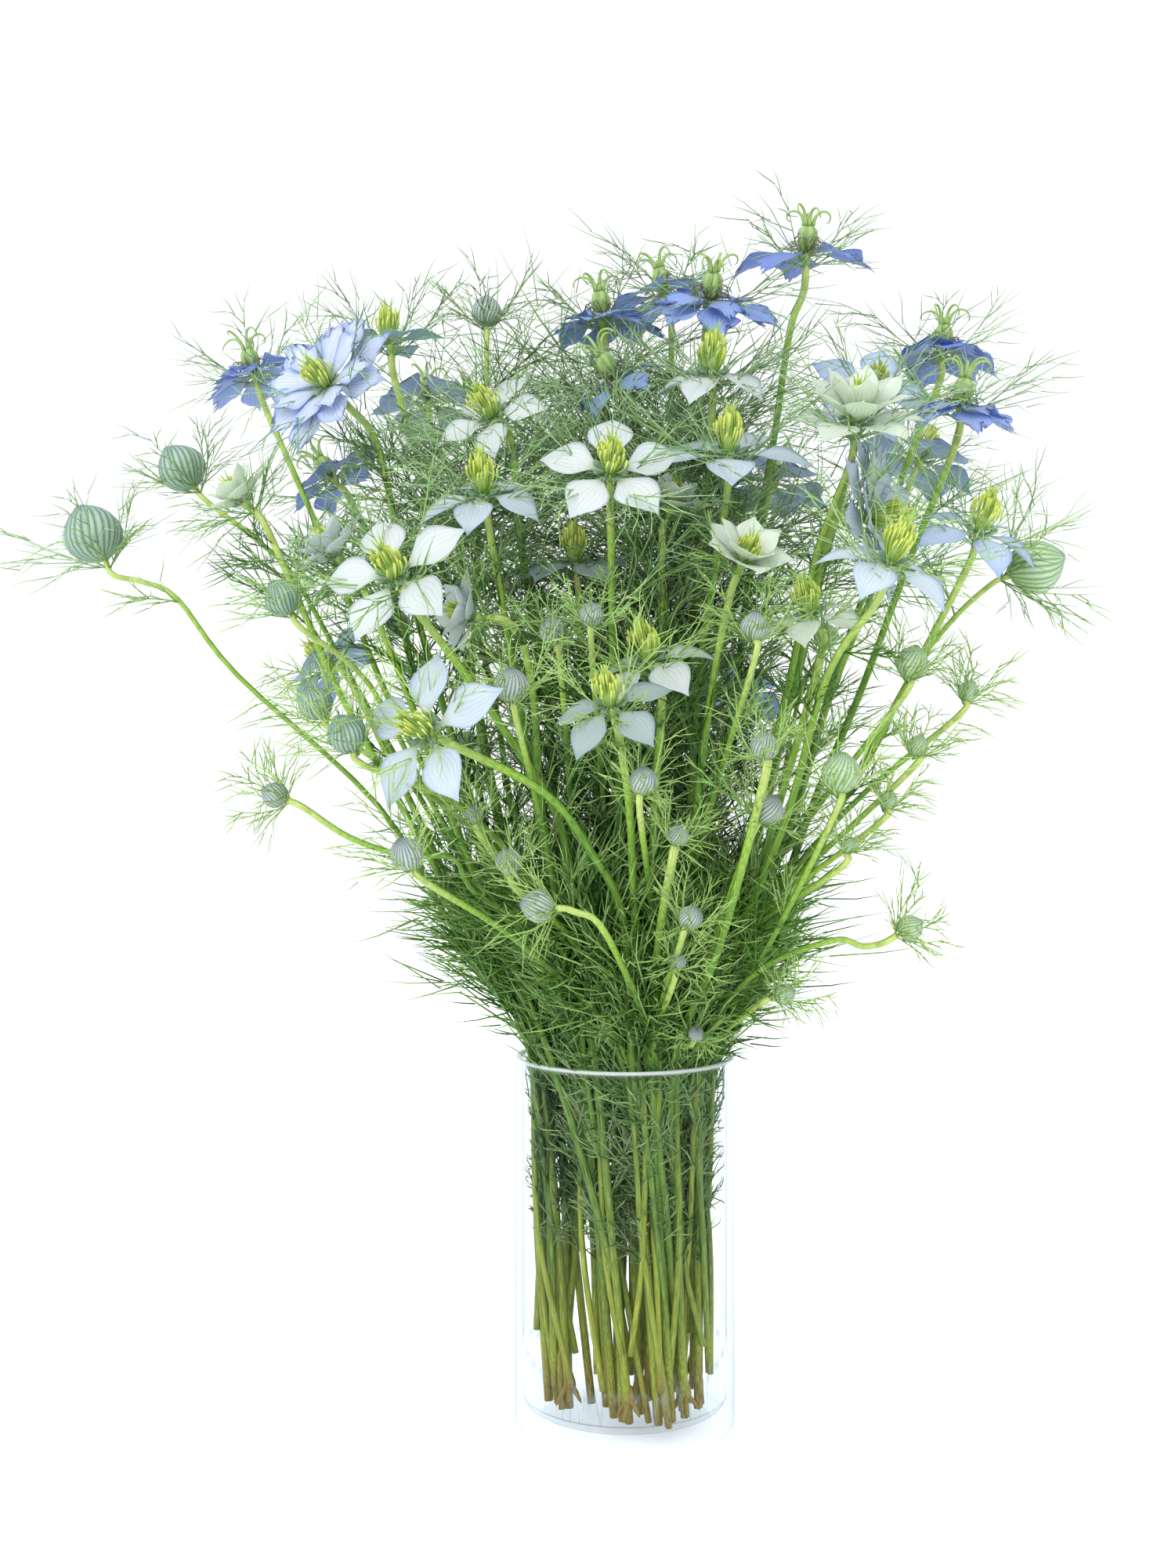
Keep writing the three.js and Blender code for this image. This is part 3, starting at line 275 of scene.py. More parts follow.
PLANTS = [
    [
        bloom((-120, -10, 422), 23, (-0.45, -0.8, 0.4), "fan", "stamens", "lavender", spin=0.2),
        bloom((-166, 70, 446), 21, (-0.3, 0.1, 0.95), "layered", "capsule", "violet", fork=1),
        bud((-185, 10, 393), 10, (-0.6, 0, 0.8), 3, ((-115, 0, 309), (-136, 0, 346), (-151, 2, 361))),
        bud((-132, -50, 332), 7, (-0.5, -0.2, 0.8), 3),
    ],
    [
        bloom((-102, 50, 454), 20, (-0.1, 0, 1), "open", "stamens", "sea"),
        bloom((-90, 100, 440), 20, (-0.1, 0.3, 0.9), "hidden", "capsule", "slate", fork=1),
        bud((-58, 20, 461), 6.5, (0, 0, 1), 5),
        bud((-40, 112, 350), 6, (-0.1, 0.5, 0.8), 3),
    ],
    [
        bloom((-130, 70, 399), 17, (-0.6, 0.2, 0.8), "hidden", "capsule", "deep"),
        bloom((-152, -20, 373), 14, (-0.6, -0.2, 0.75), "cupped", "stamens", "greenish", fork=1),
        bud((-104, 96, 336), 6, (-0.5, 0.5, 0.8), 3),
    ],
    [
        bloom((-52, -30, 405), 19, (-0.45, -0.7, 0.55), "open", "stamens", "white", spin=0.5),
        bloom((-54, -60, 369), 20, (-0.1, -0.5, 0.85), "drooping", "stamens", "icy", fork=1, spin=0.7),
        bud((-28, -80, 317), 5, (-0.2, -0.3, 0.9), 3),
    ],
    [
        bloom((-9, 20, 457), 22, (-0.1, 0, 1), "layered", "capsule", "blue"),
        bloom((-4, -10, 424), 18, (-0.5, -0.3, 0.8), "drooping", "capsule", "blue", fork=1),
        bud((-14, -95, 321), 4.5, (0, -0.3, 0.95), 3),
    ],
    [
        bloom((35, 0, 459), 25, (0.1, -0.45, 0.9), "layered", "capsule", "blue", spin=0.4),
        bloom((19, 55, 478), 20, (-0.2, 0.1, 1), "hidden", "capsule", "deep", fork=2),
    ],
    [
        bloom((-7, -80, 374), 22, (0, -0.85, 0.55), "open", "stamens", "white", spin=0.3),
        # Its dye "shade" is painted shade: this bloom stands in shadow inside the bunch.
        bloom((-20, -25, 348), 18.5, (-0.1, -0.2, 1), "hidden", "stamens", "shade", fork=2),
    ],
    [
        bloom((34, -30, 421), 20, (0, -0.35, 0.93), "drooping", "stamens", "white", spin=0.6),
        bloom((16, -50, 366), 13, (0.2, -0.4, 0.9), "cupped", "stamens", "greenish", fork=3),
    ],
    [
        bloom((76, 10, 481), 26, (0.05, -0.18, 1), "drooping", "capsule", "deep", spin=0.32),
        bloom((70, 90, 401), 19, (0.2, 0.4, 0.9), "hidden", "capsule", "slate", fork=1),
        bloom((52, 92, 303), 18, (0.2, 0.7, 0.7), "hidden", "capsule", "blue", fork=2),
        bud((8, 104, 292), 6, (0, 0.5, 0.85), 3),
    ],
    [
        bloom((38, -55, 385), 26, (0, -0.4, 0.9), "starry", "stamens", "icy", spin=0.9),
        bloom((41, -80, 341), 15, (0.25, -0.6, 0.7), "cupped", "stamens", "greenish", fork=1),
        bud((43, -105, 316), 5, (0, -0.1, 1), 3),
    ],
    [
        bloom((100, -5, 419), 21, (0.1, -0.85, 0.5), "open", "stamens", "pale", spin=0.2),
        bloom((86, -55, 396), 20, (0.05, -0.45, 0.88), "double", "stamens", "greenish", fork=1),
    ],
    [
        bloom((140, 45, 450), 22, (0.1, 0.1, 1), "layered", "capsule", "deep"),
        bloom((137, 80, 409), 20, (0.4, 0.2, 0.9), "hidden", "stamens", "slate", fork=2),
        bud((96, 92, 330), 6, (0.3, 0.5, 0.8), 3),
    ],
    [
        bloom((136, -10, 413), 21, (0.1, -0.2, 1), "layered", "capsule", "violet", spin=0.3),
        bloom((135, -45, 357), 21, (0.2, -0.45, 0.87), "drooping", "stamens", "pale", fork=1),
        bud((164, -20, 348), 11, (0.9, -0.2, 0.35), 3,
            ((78, -25, 240), (100, -24, 277), (114, -22, 305), (131, -20, 327))),
    ],
    [
        bloom((92, -45, 363), 24, (0.86, -0.5, 0.12), "fan", "stamens", "icy"),
        bloom((90, -105, 337), 21, (0.25, -0.42, 0.87), "drooping", "stamens", "icy", fork=1, spin=0.6),
        bud((102, -85, 305), 6, (0.2, -0.2, 0.9), 3),
    ],
    [
        bloom((67, -75, 322), 18, (-0.3, -0.3, 0.9), "drooping", "stamens", "greenish", spin=0.5),
        bud((74, -100, 265), 7, (0.1, -0.2, 1), 2),
        bud((128, -60, 296), 4, (0.4, 0, 0.9), 3),
        bud((106, -75, 275), 4, (0.3, -0.2, 0.9), 3),
        bud((106, -60, 207), 5, (0.85, -0.1, 0.5), 2, ((46, -58, 188), (76, -60, 202), (88, -60, 200))),
        bud((59, -60, 182), 4, (0.8, -0.3, 0.4), 2),
        bud((96, -70, 255), 3.5, (0.4, -0.1, 0.9), 3),
        bud((79, -85, 239), 3, (0.3, -0.3, 0.9), 3),
    ],
    [
        bloom((8, -75, 305), 20, (-0.3, -0.4, 0.85), "drooping", "stamens", "white"),
        # Its dye "shade" is painted shade: this bloom stands in shadow inside the bunch.
        bloom((-7, -115, 287), 18, (-0.2, -0.6, 0.75), "drooping", "stamens", "shade", fork=2, spin=0.2),
        bud((4, -115, 262), 5, (0.1, -0.3, 0.9), 3),
    ],
    [
        bloom((-85, -80, 336), 23, (-0.25, -0.8, 0.5), "open", "stamens", "white", spin=0.1,
              via=((-26, -60, 247), (-47, -68, 282), (-66, -72, 309))),
        bloom((-113, -30, 350), 16, (-0.6, -0.2, 0.75), "cupped", "stamens", "white", fork=1),
        bud((-116, -70, 291), 6.5, (-0.5, -0.2, 0.8), 3),
        bud((-101, -95, 279), 7, (-0.4, -0.4, 0.8), 3),
    ],
    [
        bloom((-71, -105, 279), 23, (-0.45, -0.85, 0.25), "starry", "stamens", "icy", spin=0.5,
              via=((-2, -66, 210), (-14, -78, 236), (-31, -88, 258))),
        bud((-78, -110, 237), 6, (-0.4, -0.5, 0.75), 2),
        bud((-57, -75, 250), 3.5, (-0.3, -0.3, 0.9), 2),
        bud((-44, -78, 233), 5, (-0.2, -0.4, 0.9), 2),
        bud((-133, -60, 257), 5, (-0.9, 0, 0.4), 2,
            ((-57, -56, 219), (-66, -58, 233), (-84, -60, 234), (-105, -60, 241))),
    ],
    [
        bloom((-57, -60, 324), 14, (-0.9, -0.3, 0.2), "cupped", "stamens", "white"),
        bud((-42, -100, 296), 6, (-0.1, -0.4, 0.9), 2),
    ],
    [
        bloom((-129, 50, 314), 17, (-0.7, 0.3, 0.6), "hidden", "stamens", "pale"),
        bud((-219, 0, 364), 12, (-0.45, 0, 0.9), 2,
            ((-102, 4, 252), (-160, 2, 306), (-184, 0, 337), (-198, 0, 344))),
        bud((-72, 92, 280), 6, (-0.3, 0.6, 0.8), 2),
    ],
    [
        bud((46, -110, 274), 5, (0, -0.2, 1)),
        bud((49, -95, 252), 5.5, (0.5, -0.2, 0.85), 2),
        bud((26, -52, 166), 3, (0.1, -0.8, 0.5), 2),
    ],
    [
        bud((17, -95, 243), 4, (0.2, -0.4, 0.9)),
        bud((22, -85, 213), 4.5, (0.3, -0.4, 0.85), 2),
        bud((18, -75, 196), 3, (0.1, -0.6, 0.7), 2),
        bud((-33, -98, 218), 6, (-1, 0, 0.15), 2, ((-8, -88, 206),)),
    ],
]

LEVELS = np.array([VASE["floor"] + 0.4, 80, VASE["height"], 200, 250, 300, 350, 400, 450])  # heights
RIM = 2  # the level at the rim
FAN_APEX = 50.0  # the height that the stems above the rim fan out from
RIM_REACH = 38.5  # how far from the axis a stem's centre may pass the rim
FOOT_SPREAD = 0.86  # a foot's distance from the axis, as a share of the stem's at the rim
FOOT_TWIST = 0.45  # and how far it is turned round the axis from there
APART = 3.65  # clear distance kept between the centres of two stems
NECK = 14.0  # straight stem under a bloom
BUD_NECK = 7.0  # and under a bud, past its radius
NEAREST_LEVEL = 16.0  # a stem has no level point nearer below its neck
ROUNDS = 160  # of easing stems apart
BLOOM_ROOM = dict(over=3.0, axial=11.0, high=3.0)  # room past a bloom's radius, along its axis and up
EASE = 0.5  # share of an overlap that one round takes away
STRAIGHTEN = 0.02  # and share of a stem's bend
TINY = 1e-9  # stands in for nought where a length divides


def unit(vectors):
    """Vectors divided by their own length."""
    return vectors / np.maximum(np.linalg.norm(vectors, axis=-1, keepdims=True), TINY)


def head_axes(head):
    """The centre of a head, its axis, and the two directions across it."""
    up = unit(np.array(head["facing"], float))
    side = unit(np.cross((0, 1, 0), up))
    return np.array(head["place"], float), up, side, np.cross(up, side)


def set_out():
    """The shoots, each with a point on every level that it passes, straight from foot to neck."""
    shoots = []
    for plant, heads in enumerate(PLANTS):
        main = len(shoots)
        for head in heads:
            is_main = len(shoots) == main
            centre, up, _, _ = head_axes(head)
            length = NECK if head["is_bloom"] else head["radius"] + BUD_NECK
            fixed = [np.array(bend, float) for bend in head["via"]] + [centre - up * length]
            aim, fork = fixed[0], head["fork"]
            count = max(int((LEVELS <= aim[2] - NEAREST_LEVEL).sum()), fork + 1)
            at_rim = aim[:2] * (VASE["height"] - FAN_APEX) / (aim[2] - FAN_APEX)
            at_rim = at_rim * min(1, RIM_REACH / np.hypot(*at_rim))
            cos, sin = np.cos(FOOT_TWIST), np.sin(FOOT_TWIST)
            at_foot = FOOT_SPREAD * np.array([[cos, -sin], [sin, cos]]) @ at_rim
            base = RIM if is_main else max(fork, RIM)
            start = at_rim if is_main or fork < RIM else shoots[main]["levels"][fork, :2]
            levels = np.zeros((count, 3))
            levels[:, 2] = LEVELS[:count]
            share = (LEVELS[:count] - LEVELS[0]) / (LEVELS[RIM] - LEVELS[0])
            levels[:, :2] = at_foot + share[:, None] * (at_rim - at_foot)
            share = (LEVELS[:count] - LEVELS[base]) / (aim[2] - LEVELS[base])
            above = np.arange(count) > RIM
            levels[above, :2] = (start + share[:, None] * (aim[:2] - start))[above]
            if not is_main:
                levels[:fork + 1] = shoots[main]["levels"][:fork + 1]
            shoots.append(dict(plant=plant, head=head, main=main, is_main=is_main, fork=fork,
                               levels=levels, fixed=fixed))
    return shoots


def ease_apart(shoots):
    """Moves the level points sideways, a little in each round, until no two stems of different
    plants run closer than APART and no stem runs through a bloom. Each overlap pushes the two ends
    of the stretch in which it lies, by the share of the stretch on each side of it."""
    count = np.array([len(shoot["levels"]) for shoot in shoots])
    plant = np.array([shoot["plant"] for shoot in shoots])
    number = np.arange(len(shoots))
    depth = len(LEVELS)
    place = np.zeros((len(shoots), depth + 1, 3))
    for i, shoot in enumerate(shoots):
        place[i, :count[i]] = shoot["levels"]
        place[i, count[i]] = shoot["fixed"][0]
    level = np.arange(depth)
    exists = level < count[:, None]
    beside = exists[:, None, 1:] & exists[None, :, 1:] & (plant[:, None] != plant)[:, :, None]
    blooming = [i for i in number if shoots[i]["head"]["is_bloom"]]
    axes = [head_axes(shoots[i]["head"]) for i in blooming]
    up = np.stack([axis for _, axis, _, _ in axes])
    middle = np.stack([centre for centre, _, _, _ in axes]) + BLOOM_ROOM["high"] * up
    flat = np.array([shoots[i]["head"]["radius"] for i in blooming]) + BLOOM_ROOM["over"]
    passing = (level >= RIM)[None, :, None] & exists[:, :, None]
    passing = passing & (number[:, None, None] != np.array(blooming))
    for _ in range(ROUNDS):
        points = place[:, :depth]
        moves = np.zeros_like(points)
        gap = points[:, None] - points[None]
        low, change = gap[:, :, :-1], gap[:, :, 1:] - gap[:, :, :-1]
        share = np.clip(-(low * change).sum(3) / ((change ** 2).sum(3) + TINY), 0, 1)
        between = low + change * share[..., None]
        distance = np.maximum(np.linalg.norm(between, axis=3), 1e-6)
        strength = np.where(beside & (distance < APART), EASE * (APART - distance) / distance, 0)
        push = between * strength[..., None]
        moves[:, :-1] += (push * (1 - share)[..., None]).sum(1)
        moves[:, 1:] += (push * share[..., None]).sum(1)
        span = (place[:, 1:] - place[:, :-1])[:, :, None]
        way = middle - place[:, :-1, None]
        length = np.maximum((span ** 2).sum(3), TINY)
        share = np.clip((way * span).sum(3) / length, 0, 1)
        off = place[:, :-1, None] + span * share[..., None] - middle
        along = (off * up).sum(3)
        out = np.sqrt(np.maximum((off ** 2).sum(3) - along ** 2, 0))
        inside = np.hypot(out / flat, along / BLOOM_ROOM["axial"])
        off[..., 2] = 0
        strength = np.where(passing & (inside < 1), EASE * (1 - inside) * flat, 0)
        push = unit(off) * strength[..., None]
        moves += (push * (1 - share)[..., None]).sum(2)
        later = (push * share[..., None]).sum(2)[:, :-1]
        moves[:, 1:] += later * exists[:, 1:, None]
        pull = (place[:, :-2] + place[:, 2:]) / 2 - place[:, 1:-1]
        pull[..., 2] = 0
        moved = points + moves
        moved[:, 1:] += STRAIGHTEN * pull
        radius = np.maximum(np.hypot(moved[:, :RIM + 1, 0], moved[:, :RIM + 1, 1]), TINY)
        moved[:, :RIM + 1, :2] *= np.minimum(1, RIM_REACH / radius)[..., None]
        place[:, :depth] = np.where(exists[..., None], moved, points)
        for i, shoot in enumerate(shoots):
            if not shoot["is_main"]:
                kept = shoot["fork"] + 1
                place[i, :kept] = place[shoot["main"], :kept]
    for i, shoot in enumerate(shoots):
        shoot["levels"] = place[i, :count[i]].copy()
    return shoots


SHOOTS = ease_apart(set_out())

# ---- stems ----
# Green stems with fine ridges, grown in one with their side shoots. They are olive to brown and woody
# at the cut ends and pale yellow-green under each head, where they bow.

STEM = dict(foot=1.8, top=1.38, thin_at=330.0)  # radii at the foot, and from a height on
SLIM = dict(main=1.0, side=0.93, bud=0.72)  # shares of those for each order of shoot
SWELL, SWELL_LENGTH = 1.12, 25.0  # a stem is thicker by this share under its head, and so far down
WAIST = [(0, 0.94), (80, 0.95), (150, 1.0)]  # how much stems draw together at heights in the vase
SWAY = 1.3  # how far a stem strays to each side above the rim
SWAY_LENGTHS = 19, 23  # heights in which it turns by a radian, to each side
BIG_BUD = 3.2  # a bud with a larger radius has a stem of its own from the foot up
BESIDE = 3.1  # how far such a stem stands from its main one, below its fork
SPLAY, SPLAY_STEP = 0.5, 1.2  # shares by which it stands further out at its foot
WIND = 1.3  # how far it winds round the main one from level to level
CUT_SHORT = 7.0  # steps by which it is cut shorter at the foot
STEM_STEPS = 5  # points on its curve from one level to the next
STEM_SIDES = 10
RIDGE = 0.09  # share by which every second of its corners stands out
GOLDEN = 2.399963  # the angle between one leaf and the next, round a stem
# Places of the greens in the UV map, from the bottom to the top: the second number of a point.
WOODY, OLIVE, DARK, GREEN, YELLOWISH, PALE = 0.02, 0.2, 0.4, 0.6, 0.8, 0.98
GREEN_BY_HEIGHT = [(60, 0.27), (110, 0.36), (160, 0.43), (330, 0.72)]
PALE_LENGTH = 42.0  # how far down from its head a stem is pale


def ramp(value, stops):
    """The result for a value, off the straight lines through stops (value, result)."""
    return np.interp(value, *np.array(stops, float).T)


def smooth_path(points, steps):
    """A curve through points: between each two, a cubic whose slope at a point is half the way from
    the point before it to the one after."""
    points = np.asarray(points, float)
    slope = np.gradient(points, axis=0)
    t = np.linspace(0, 1, steps, endpoint=False)[None, :, None]
    start, end = points[:-1, None], points[1:, None]
    out, into = slope[:-1, None], slope[1:, None]
    curve = (start * (2 * t ** 3 - 3 * t ** 2 + 1) + out * (t ** 3 - 2 * t ** 2 + t)
             + end * (3 * t ** 2 - 2 * t ** 3) + into * (t ** 3 - t ** 2))
    return np.concatenate([curve.reshape(-1, 3), points[-1:]])


def rods(paths, radii, shade, tone, sides=3, ridge=0.0):
    """Closed tapering rods, one along each path: rings of corners at a radius from the path, in the
    plane across it, and a single corner at its end. Every second corner stands out by the ridge. The
    UV map holds the rod's shade and tone, or where it has ridges the way round it in place of shade."""
    paths = np.asarray(paths, float)
    many, steps = paths.shape[:2]
    radii = np.broadcast_to(np.asarray(radii, float), (many, steps))
    ahead = unit(np.gradient(paths, axis=1))
    aim = unit(paths[:, -1] - paths[:, 0])
    across = np.eye(3)[np.abs(aim).argmin(1)][:, None]
    side = unit(across - (across * ahead).sum(2, keepdims=True) * ahead)
    other = np.cross(ahead, side)
    angle = np.arange(sides) * 2 * np.pi / sides
    out = (1 + ridge * np.cos(np.pi * np.arange(sides)))[None, None, :, None] * radii[:, :-1, None, None]
    ring = paths[:, :-1, None] + out * (
        side[:, :-1, None] * np.cos(angle)[:, None] + other[:, :-1, None] * np.sin(angle)[:, None])
    rings = steps - 1
    size = rings * sides + 1
    points = np.concatenate([ring.reshape(many, -1, 3), paths[:, -1:]], 1).reshape(-1, 3)
    row, column = np.meshgrid(np.arange(rings - 1), np.arange(sides), indexing="ij")
    after = (column + 1) % sides
    quads = np.stack([row * sides + column, row * sides + after, (row + 1) * sides + after,
                      (row + 1) * sides + column], 2).reshape(-1, 4)
    i, j = np.arange(sides), (np.arange(sides) + 1) % sides
    last = (rings - 1) * sides
    tip = np.stack([last + i, last + j, np.full(sides, rings * sides)], 1)
    foot = np.stack([np.zeros(sides - 2, int), np.arange(2, sides), np.arange(1, sides - 1)], 1)
    triangles = np.concatenate([tip, foot])
    base = (np.arange(many) * size)[:, None, None]
    shade = np.broadcast_to(np.asarray(shade, float), (many, steps))
    tone = np.broadcast_to(np.asarray(tone, float), (many, steps))
    if ridge:
        turn = np.abs(2 * np.arange(sides) / sides - 1)
        u = np.broadcast_to(turn, (many, rings, sides)).reshape(many, -1)
    else:
        u = np.repeat(shade[:, :-1], sides, 1)
    u = np.concatenate([u, shade[:, -1:]], 1)
    v = np.concatenate([np.repeat(tone[:, :-1], sides, 1), tone[:, -1:]], 1)
    uv = np.clip(np.stack([u, v], 2), 0.005, 0.995).reshape(-1, 2)
    return points, (quads + base).reshape(-1, 4), (triangles + base).reshape(-1, 3), uv


def joined(skins):
    """One skin of several: their points one after another, with each one's faces counted on."""
    sizes = np.cumsum([0] + [len(skin[0]) for skin in skins])
    points = np.concatenate([skin[0] for skin in skins])
    quads = np.concatenate([skin[1] + size for skin, size in zip(skins, sizes)])
    triangles = np.concatenate([skin[2] + size for skin, size in zip(skins, sizes)])
    return points, quads, triangles, np.concatenate([skin[3] for skin in skins])


def stem_route(number, shoot):
    """The points that a shoot's stem follows. A side shoot with a big head runs up from the foot
    beside its main one and winds round it, and others start inside it."""
    centre, up, _, _ = head_axes(shoot["head"])
    under = 2.0 if shoot["head"]["is_bloom"] else 0.9 * shoot["head"]["radius"]
    levels = shoot["levels"].copy()
    fork = shoot["fork"]
    if shoot["from_foot"] and not shoot["is_main"]:
        low = np.arange(fork + 1)
        hand = 1 if number % 2 else -1
        reach = BESIDE * (1 + (SPLAY + SPLAY_STEP * (number % 3)) * (1 - low / max(fork, 1)))
        turn = GOLDEN * number + WIND * hand * low
        levels[:fork + 1, :2] += reach[:, None] * np.stack([np.cos(turn), np.sin(turn)], 1)
        levels[0, 2] += CUT_SHORT * (number % 5)
        held = slice(0, min(fork, RIM) + 1)
        radius = np.hypot(levels[held, 0], levels[held, 1])
        levels[held, :2] *= np.minimum(1, RIM_REACH / radius)[:, None]
    elif not shoot["is_main"]:
        levels = levels[max(fork - 1, 0):]
    height = levels[:, 2]
    levels[:, :2] *= ramp(height, WAIST)[:, None]
    above = np.clip((height - VASE["height"]) / 40, 0, 1)
    stray = [np.sin(height / SWAY_LENGTHS[0] + number), np.cos(height / SWAY_LENGTHS[1] + 2.1 * number)]
    levels[:, :2] += SWAY * above[:, None] * np.stack(stray, 1)
    return np.concatenate([levels, shoot["fixed"], [centre - under * up]])


# How far the bunch reaches at a height: to the left, to the right, and to the front and back. Below
# the rim that is the inside of the glass.
OUTLINE = np.array([
    (0, 40, 40, 40), (147, 40, 40, 40), (154, 47, 45, 45), (165, 53, 49, 49), (197, 67, 66, 62),
    (229, 88, 83, 76), (261, 108, 96, 88), (326, 145, 122, 108), (390, 176, 152, 122),
    (430, 190, 168, 126), (500, 195, 175, 128),
])


def how_far_out(points):
    """How far out points are in the bunch: 0 at its axis and 1 at its outline."""
    x, y, z = points[..., 0], points[..., 1], points[..., 2]
    left, right, deep = (np.interp(z, OUTLINE[:, 0], OUTLINE[:, i]) for i in (1, 2, 3))
    return np.hypot(x / np.where(x < 0, left, right), y / deep)


for number, shoot in enumerate(SHOOTS):
    head = shoot["head"]
    shoot["from_foot"] = shoot["is_main"] or head["is_bloom"] or head["radius"] > BIG_BUD
    path = smooth_path(stem_route(number, shoot), STEM_STEPS)
    if not shoot["from_foot"] and shoot["fork"] > 0:
        path = path[STEM_STEPS:]
    shoot["path"] = path
    shoot["run"] = np.concatenate([[0], np.cumsum(np.linalg.norm(np.diff(path, axis=0), axis=1))])
NUMBERED = list(enumerate(SHOOTS))
GROWN = [[pair for pair in NUMBERED if pair[1]["plant"] == plant] for plant in range(len(PLANTS))]


def dress_plant(plant, name, skins, finish):
    """Makes one piece of the skins that grow on a plant, if there are any."""
    if skins:
        make_piece(f"{name}_{plant + 1:02d}", joined(skins), finish, f"leafy_stem_{plant + 1:02d}")


def stem_skin(number, shoot):
    """A shoot's stem: as thick as its height says, with its green by height and nearness to the head,
    and painted shade that darkens it in the middle of the bunch.
    """
    path, run = shoot["path"], shoot["run"]
    order = "main" if shoot["is_main"] else "side" if shoot["head"]["is_bloom"] else "bud"
    height = path[:, 2]
    left = run[-1] - run
    swollen = 1 + (SWELL - 1) * np.exp(-((left / SWELL_LENGTH) ** 2))
    thinned = np.minimum(height / STEM["thin_at"], 1)
    radius = SLIM[order] * swollen * (STEM["foot"] + (STEM["top"] - STEM["foot"]) * thinned)
    woody = 1 + 0.8 * np.sin(3.1 * number)
    tone = ramp(height, [(8, WOODY), (11 + 6 * woody, WOODY + 0.05), (20 + 11 * woody, OLIVE),
                         *GREEN_BY_HEIGHT])
    # Painted shade: in the middle of the bunch, from 50 mm up and fully from 100 mm, a stem's green is
    # drawn towards DARK.
    painted_inner_shade = ramp(how_far_out(path), [(0.25, 1), (0.8, 0)]) * np.clip(height / 50 - 1, 0, 1)
    own = 0.09 * np.sin(2.3 * number) * np.clip(height / 60, 0, 1)
    tone = tone + painted_inner_shade * 0.7 * (DARK - tone) + own
    near = np.exp(-((left / PALE_LENGTH) ** 2))
    tone = tone * (1 - near) + PALE * near
    return rods([path], [radius], 0.5, [np.maximum(tone, WOODY)], STEM_SIDES, RIDGE)


ROOTED = 4  # one plant in so many was pulled up and keeps its root
ROOT_HIGH = 9.5  # height of a root's knot above the stem's foot
KNOT = np.array([(5, 1.3), (2, 2.2), (0, 2.6), (-2, 2.2), (-3, 0.1)])  # heights and radii round there
ROOT_ENDS = 5
ROOT_REACH, ROOT_DROP, ROOT_RADIUS = (3.5, 7), (6, 8.4), (0.9, 1.5)  # least and most
ROOT_TAPER = [1.2, 1.0, 0.85, 0.7, 0.4]


def root_skin(foot, rng):
    """What is left of a root: a knot, and short brown rods that spread down and out from it."""
    turn = np.arange(ROOT_ENDS) * 2 * np.pi / ROOT_ENDS + rng.uniform(0, 6)
    out = np.stack([np.cos(turn), np.sin(turn), np.zeros(ROOT_ENDS)], 1)
    each = (ROOT_ENDS, 1, 1)
    t = np.linspace(0, 1, len(ROOT_TAPER))[None, :, None]
    reach = rng.uniform(*ROOT_REACH, each)
    start = foot + [0, 0, ROOT_HIGH]
    paths = start + reach * t ** 0.7 * out[:, None] - rng.uniform(*ROOT_DROP, each) * t * [0, 0, 1]
    radii = rng.uniform(*ROOT_RADIUS, (ROOT_ENDS, 1)) * np.array(ROOT_TAPER)
    knot = rods([start + KNOT[:, :1] * [0, 0, 1]], [KNOT[:, 1]], 0.5, WOODY, STEM_SIDES, RIDGE)
    return joined([knot, rods(paths, radii, 0.5, WOODY, 6, RIDGE)])


def blended(tree, share, first, second, way="MIX"):
    """Two colours mixed by a share, or laid over each other in another way."""
    node = tree.nodes.new("ShaderNodeMix")
    node.data_type = "RGBA"
    node.blend_type = way
    for place, value in ((0, share), (6, first), (7, second)):
        feed(tree, node.inputs[place], value)
    return node.outputs[2]


def two_toned(tree, base, share, shadow, paler, gain):
    """A colour that goes, as the share rises, from the base times the shadow's colour to the base
    with some of a paler colour mixed in."""
    dark = blended(tree, 1.0, base, tint(shadow), "MULTIPLY")
    light = blended(tree, gain, base, tint(paler))
    return blended(tree, share, dark, light)


def grain(tree, uv, across, along, detail=2.0):
    """Noise that is stretched by different scales across and along the piece's map."""
    scaled = add_node(tree, "ShaderNodeMapping", Vector=uv, Scale=(across, along, 1)).outputs["Vector"]
    return add_node(tree, "ShaderNodeTexNoise", Vector=scaled, Scale=1.0, Detail=detail).outputs["Fac"]


def raise_skin(tree, shader, height, strength, depth):
    """Raises a skin by a height from 0 to 1, as far as the light on it shows."""
    bump = add_node(tree, "ShaderNodeBump", Strength=strength, Distance=depth, Height=height)
    tree.links.new(bump.outputs["Normal"], shader.inputs["Normal"])


STEM_GREENS = [  # from the foot of a stem to its head
    (WOODY, "#8a6430"), (OLIVE, "#8d961e"), (DARK, "#38690f"), (GREEN, "#5c9a1c"),
    (YELLOWISH, "#94c23c"), (PALE, "#cfe188"),
]


def stem_green():
    """Stem skin: its green by height, with fine paler and darker streaks along it."""
    finish, shader, _ = new_finish("stem_green")
    tree = finish.node_tree
    _, v, uv = own_map(tree)
    streaks = grain(tree, uv, 14, 60, 3)
    streaked = reckon(tree, "MULTIPLY_ADD", streaks, 2.4, -0.7)
    colour = two_toned(tree, dyed(tree, v, STEM_GREENS), streaked, "#a0ad84", "#d8e690", 0.24)
    plug(tree, shader, Base_Color=colour, Roughness=0.5, Specular_IOR_Level=0.18)
    raise_skin(tree, shader, streaks, 0.25, 0.0004)
    return finish


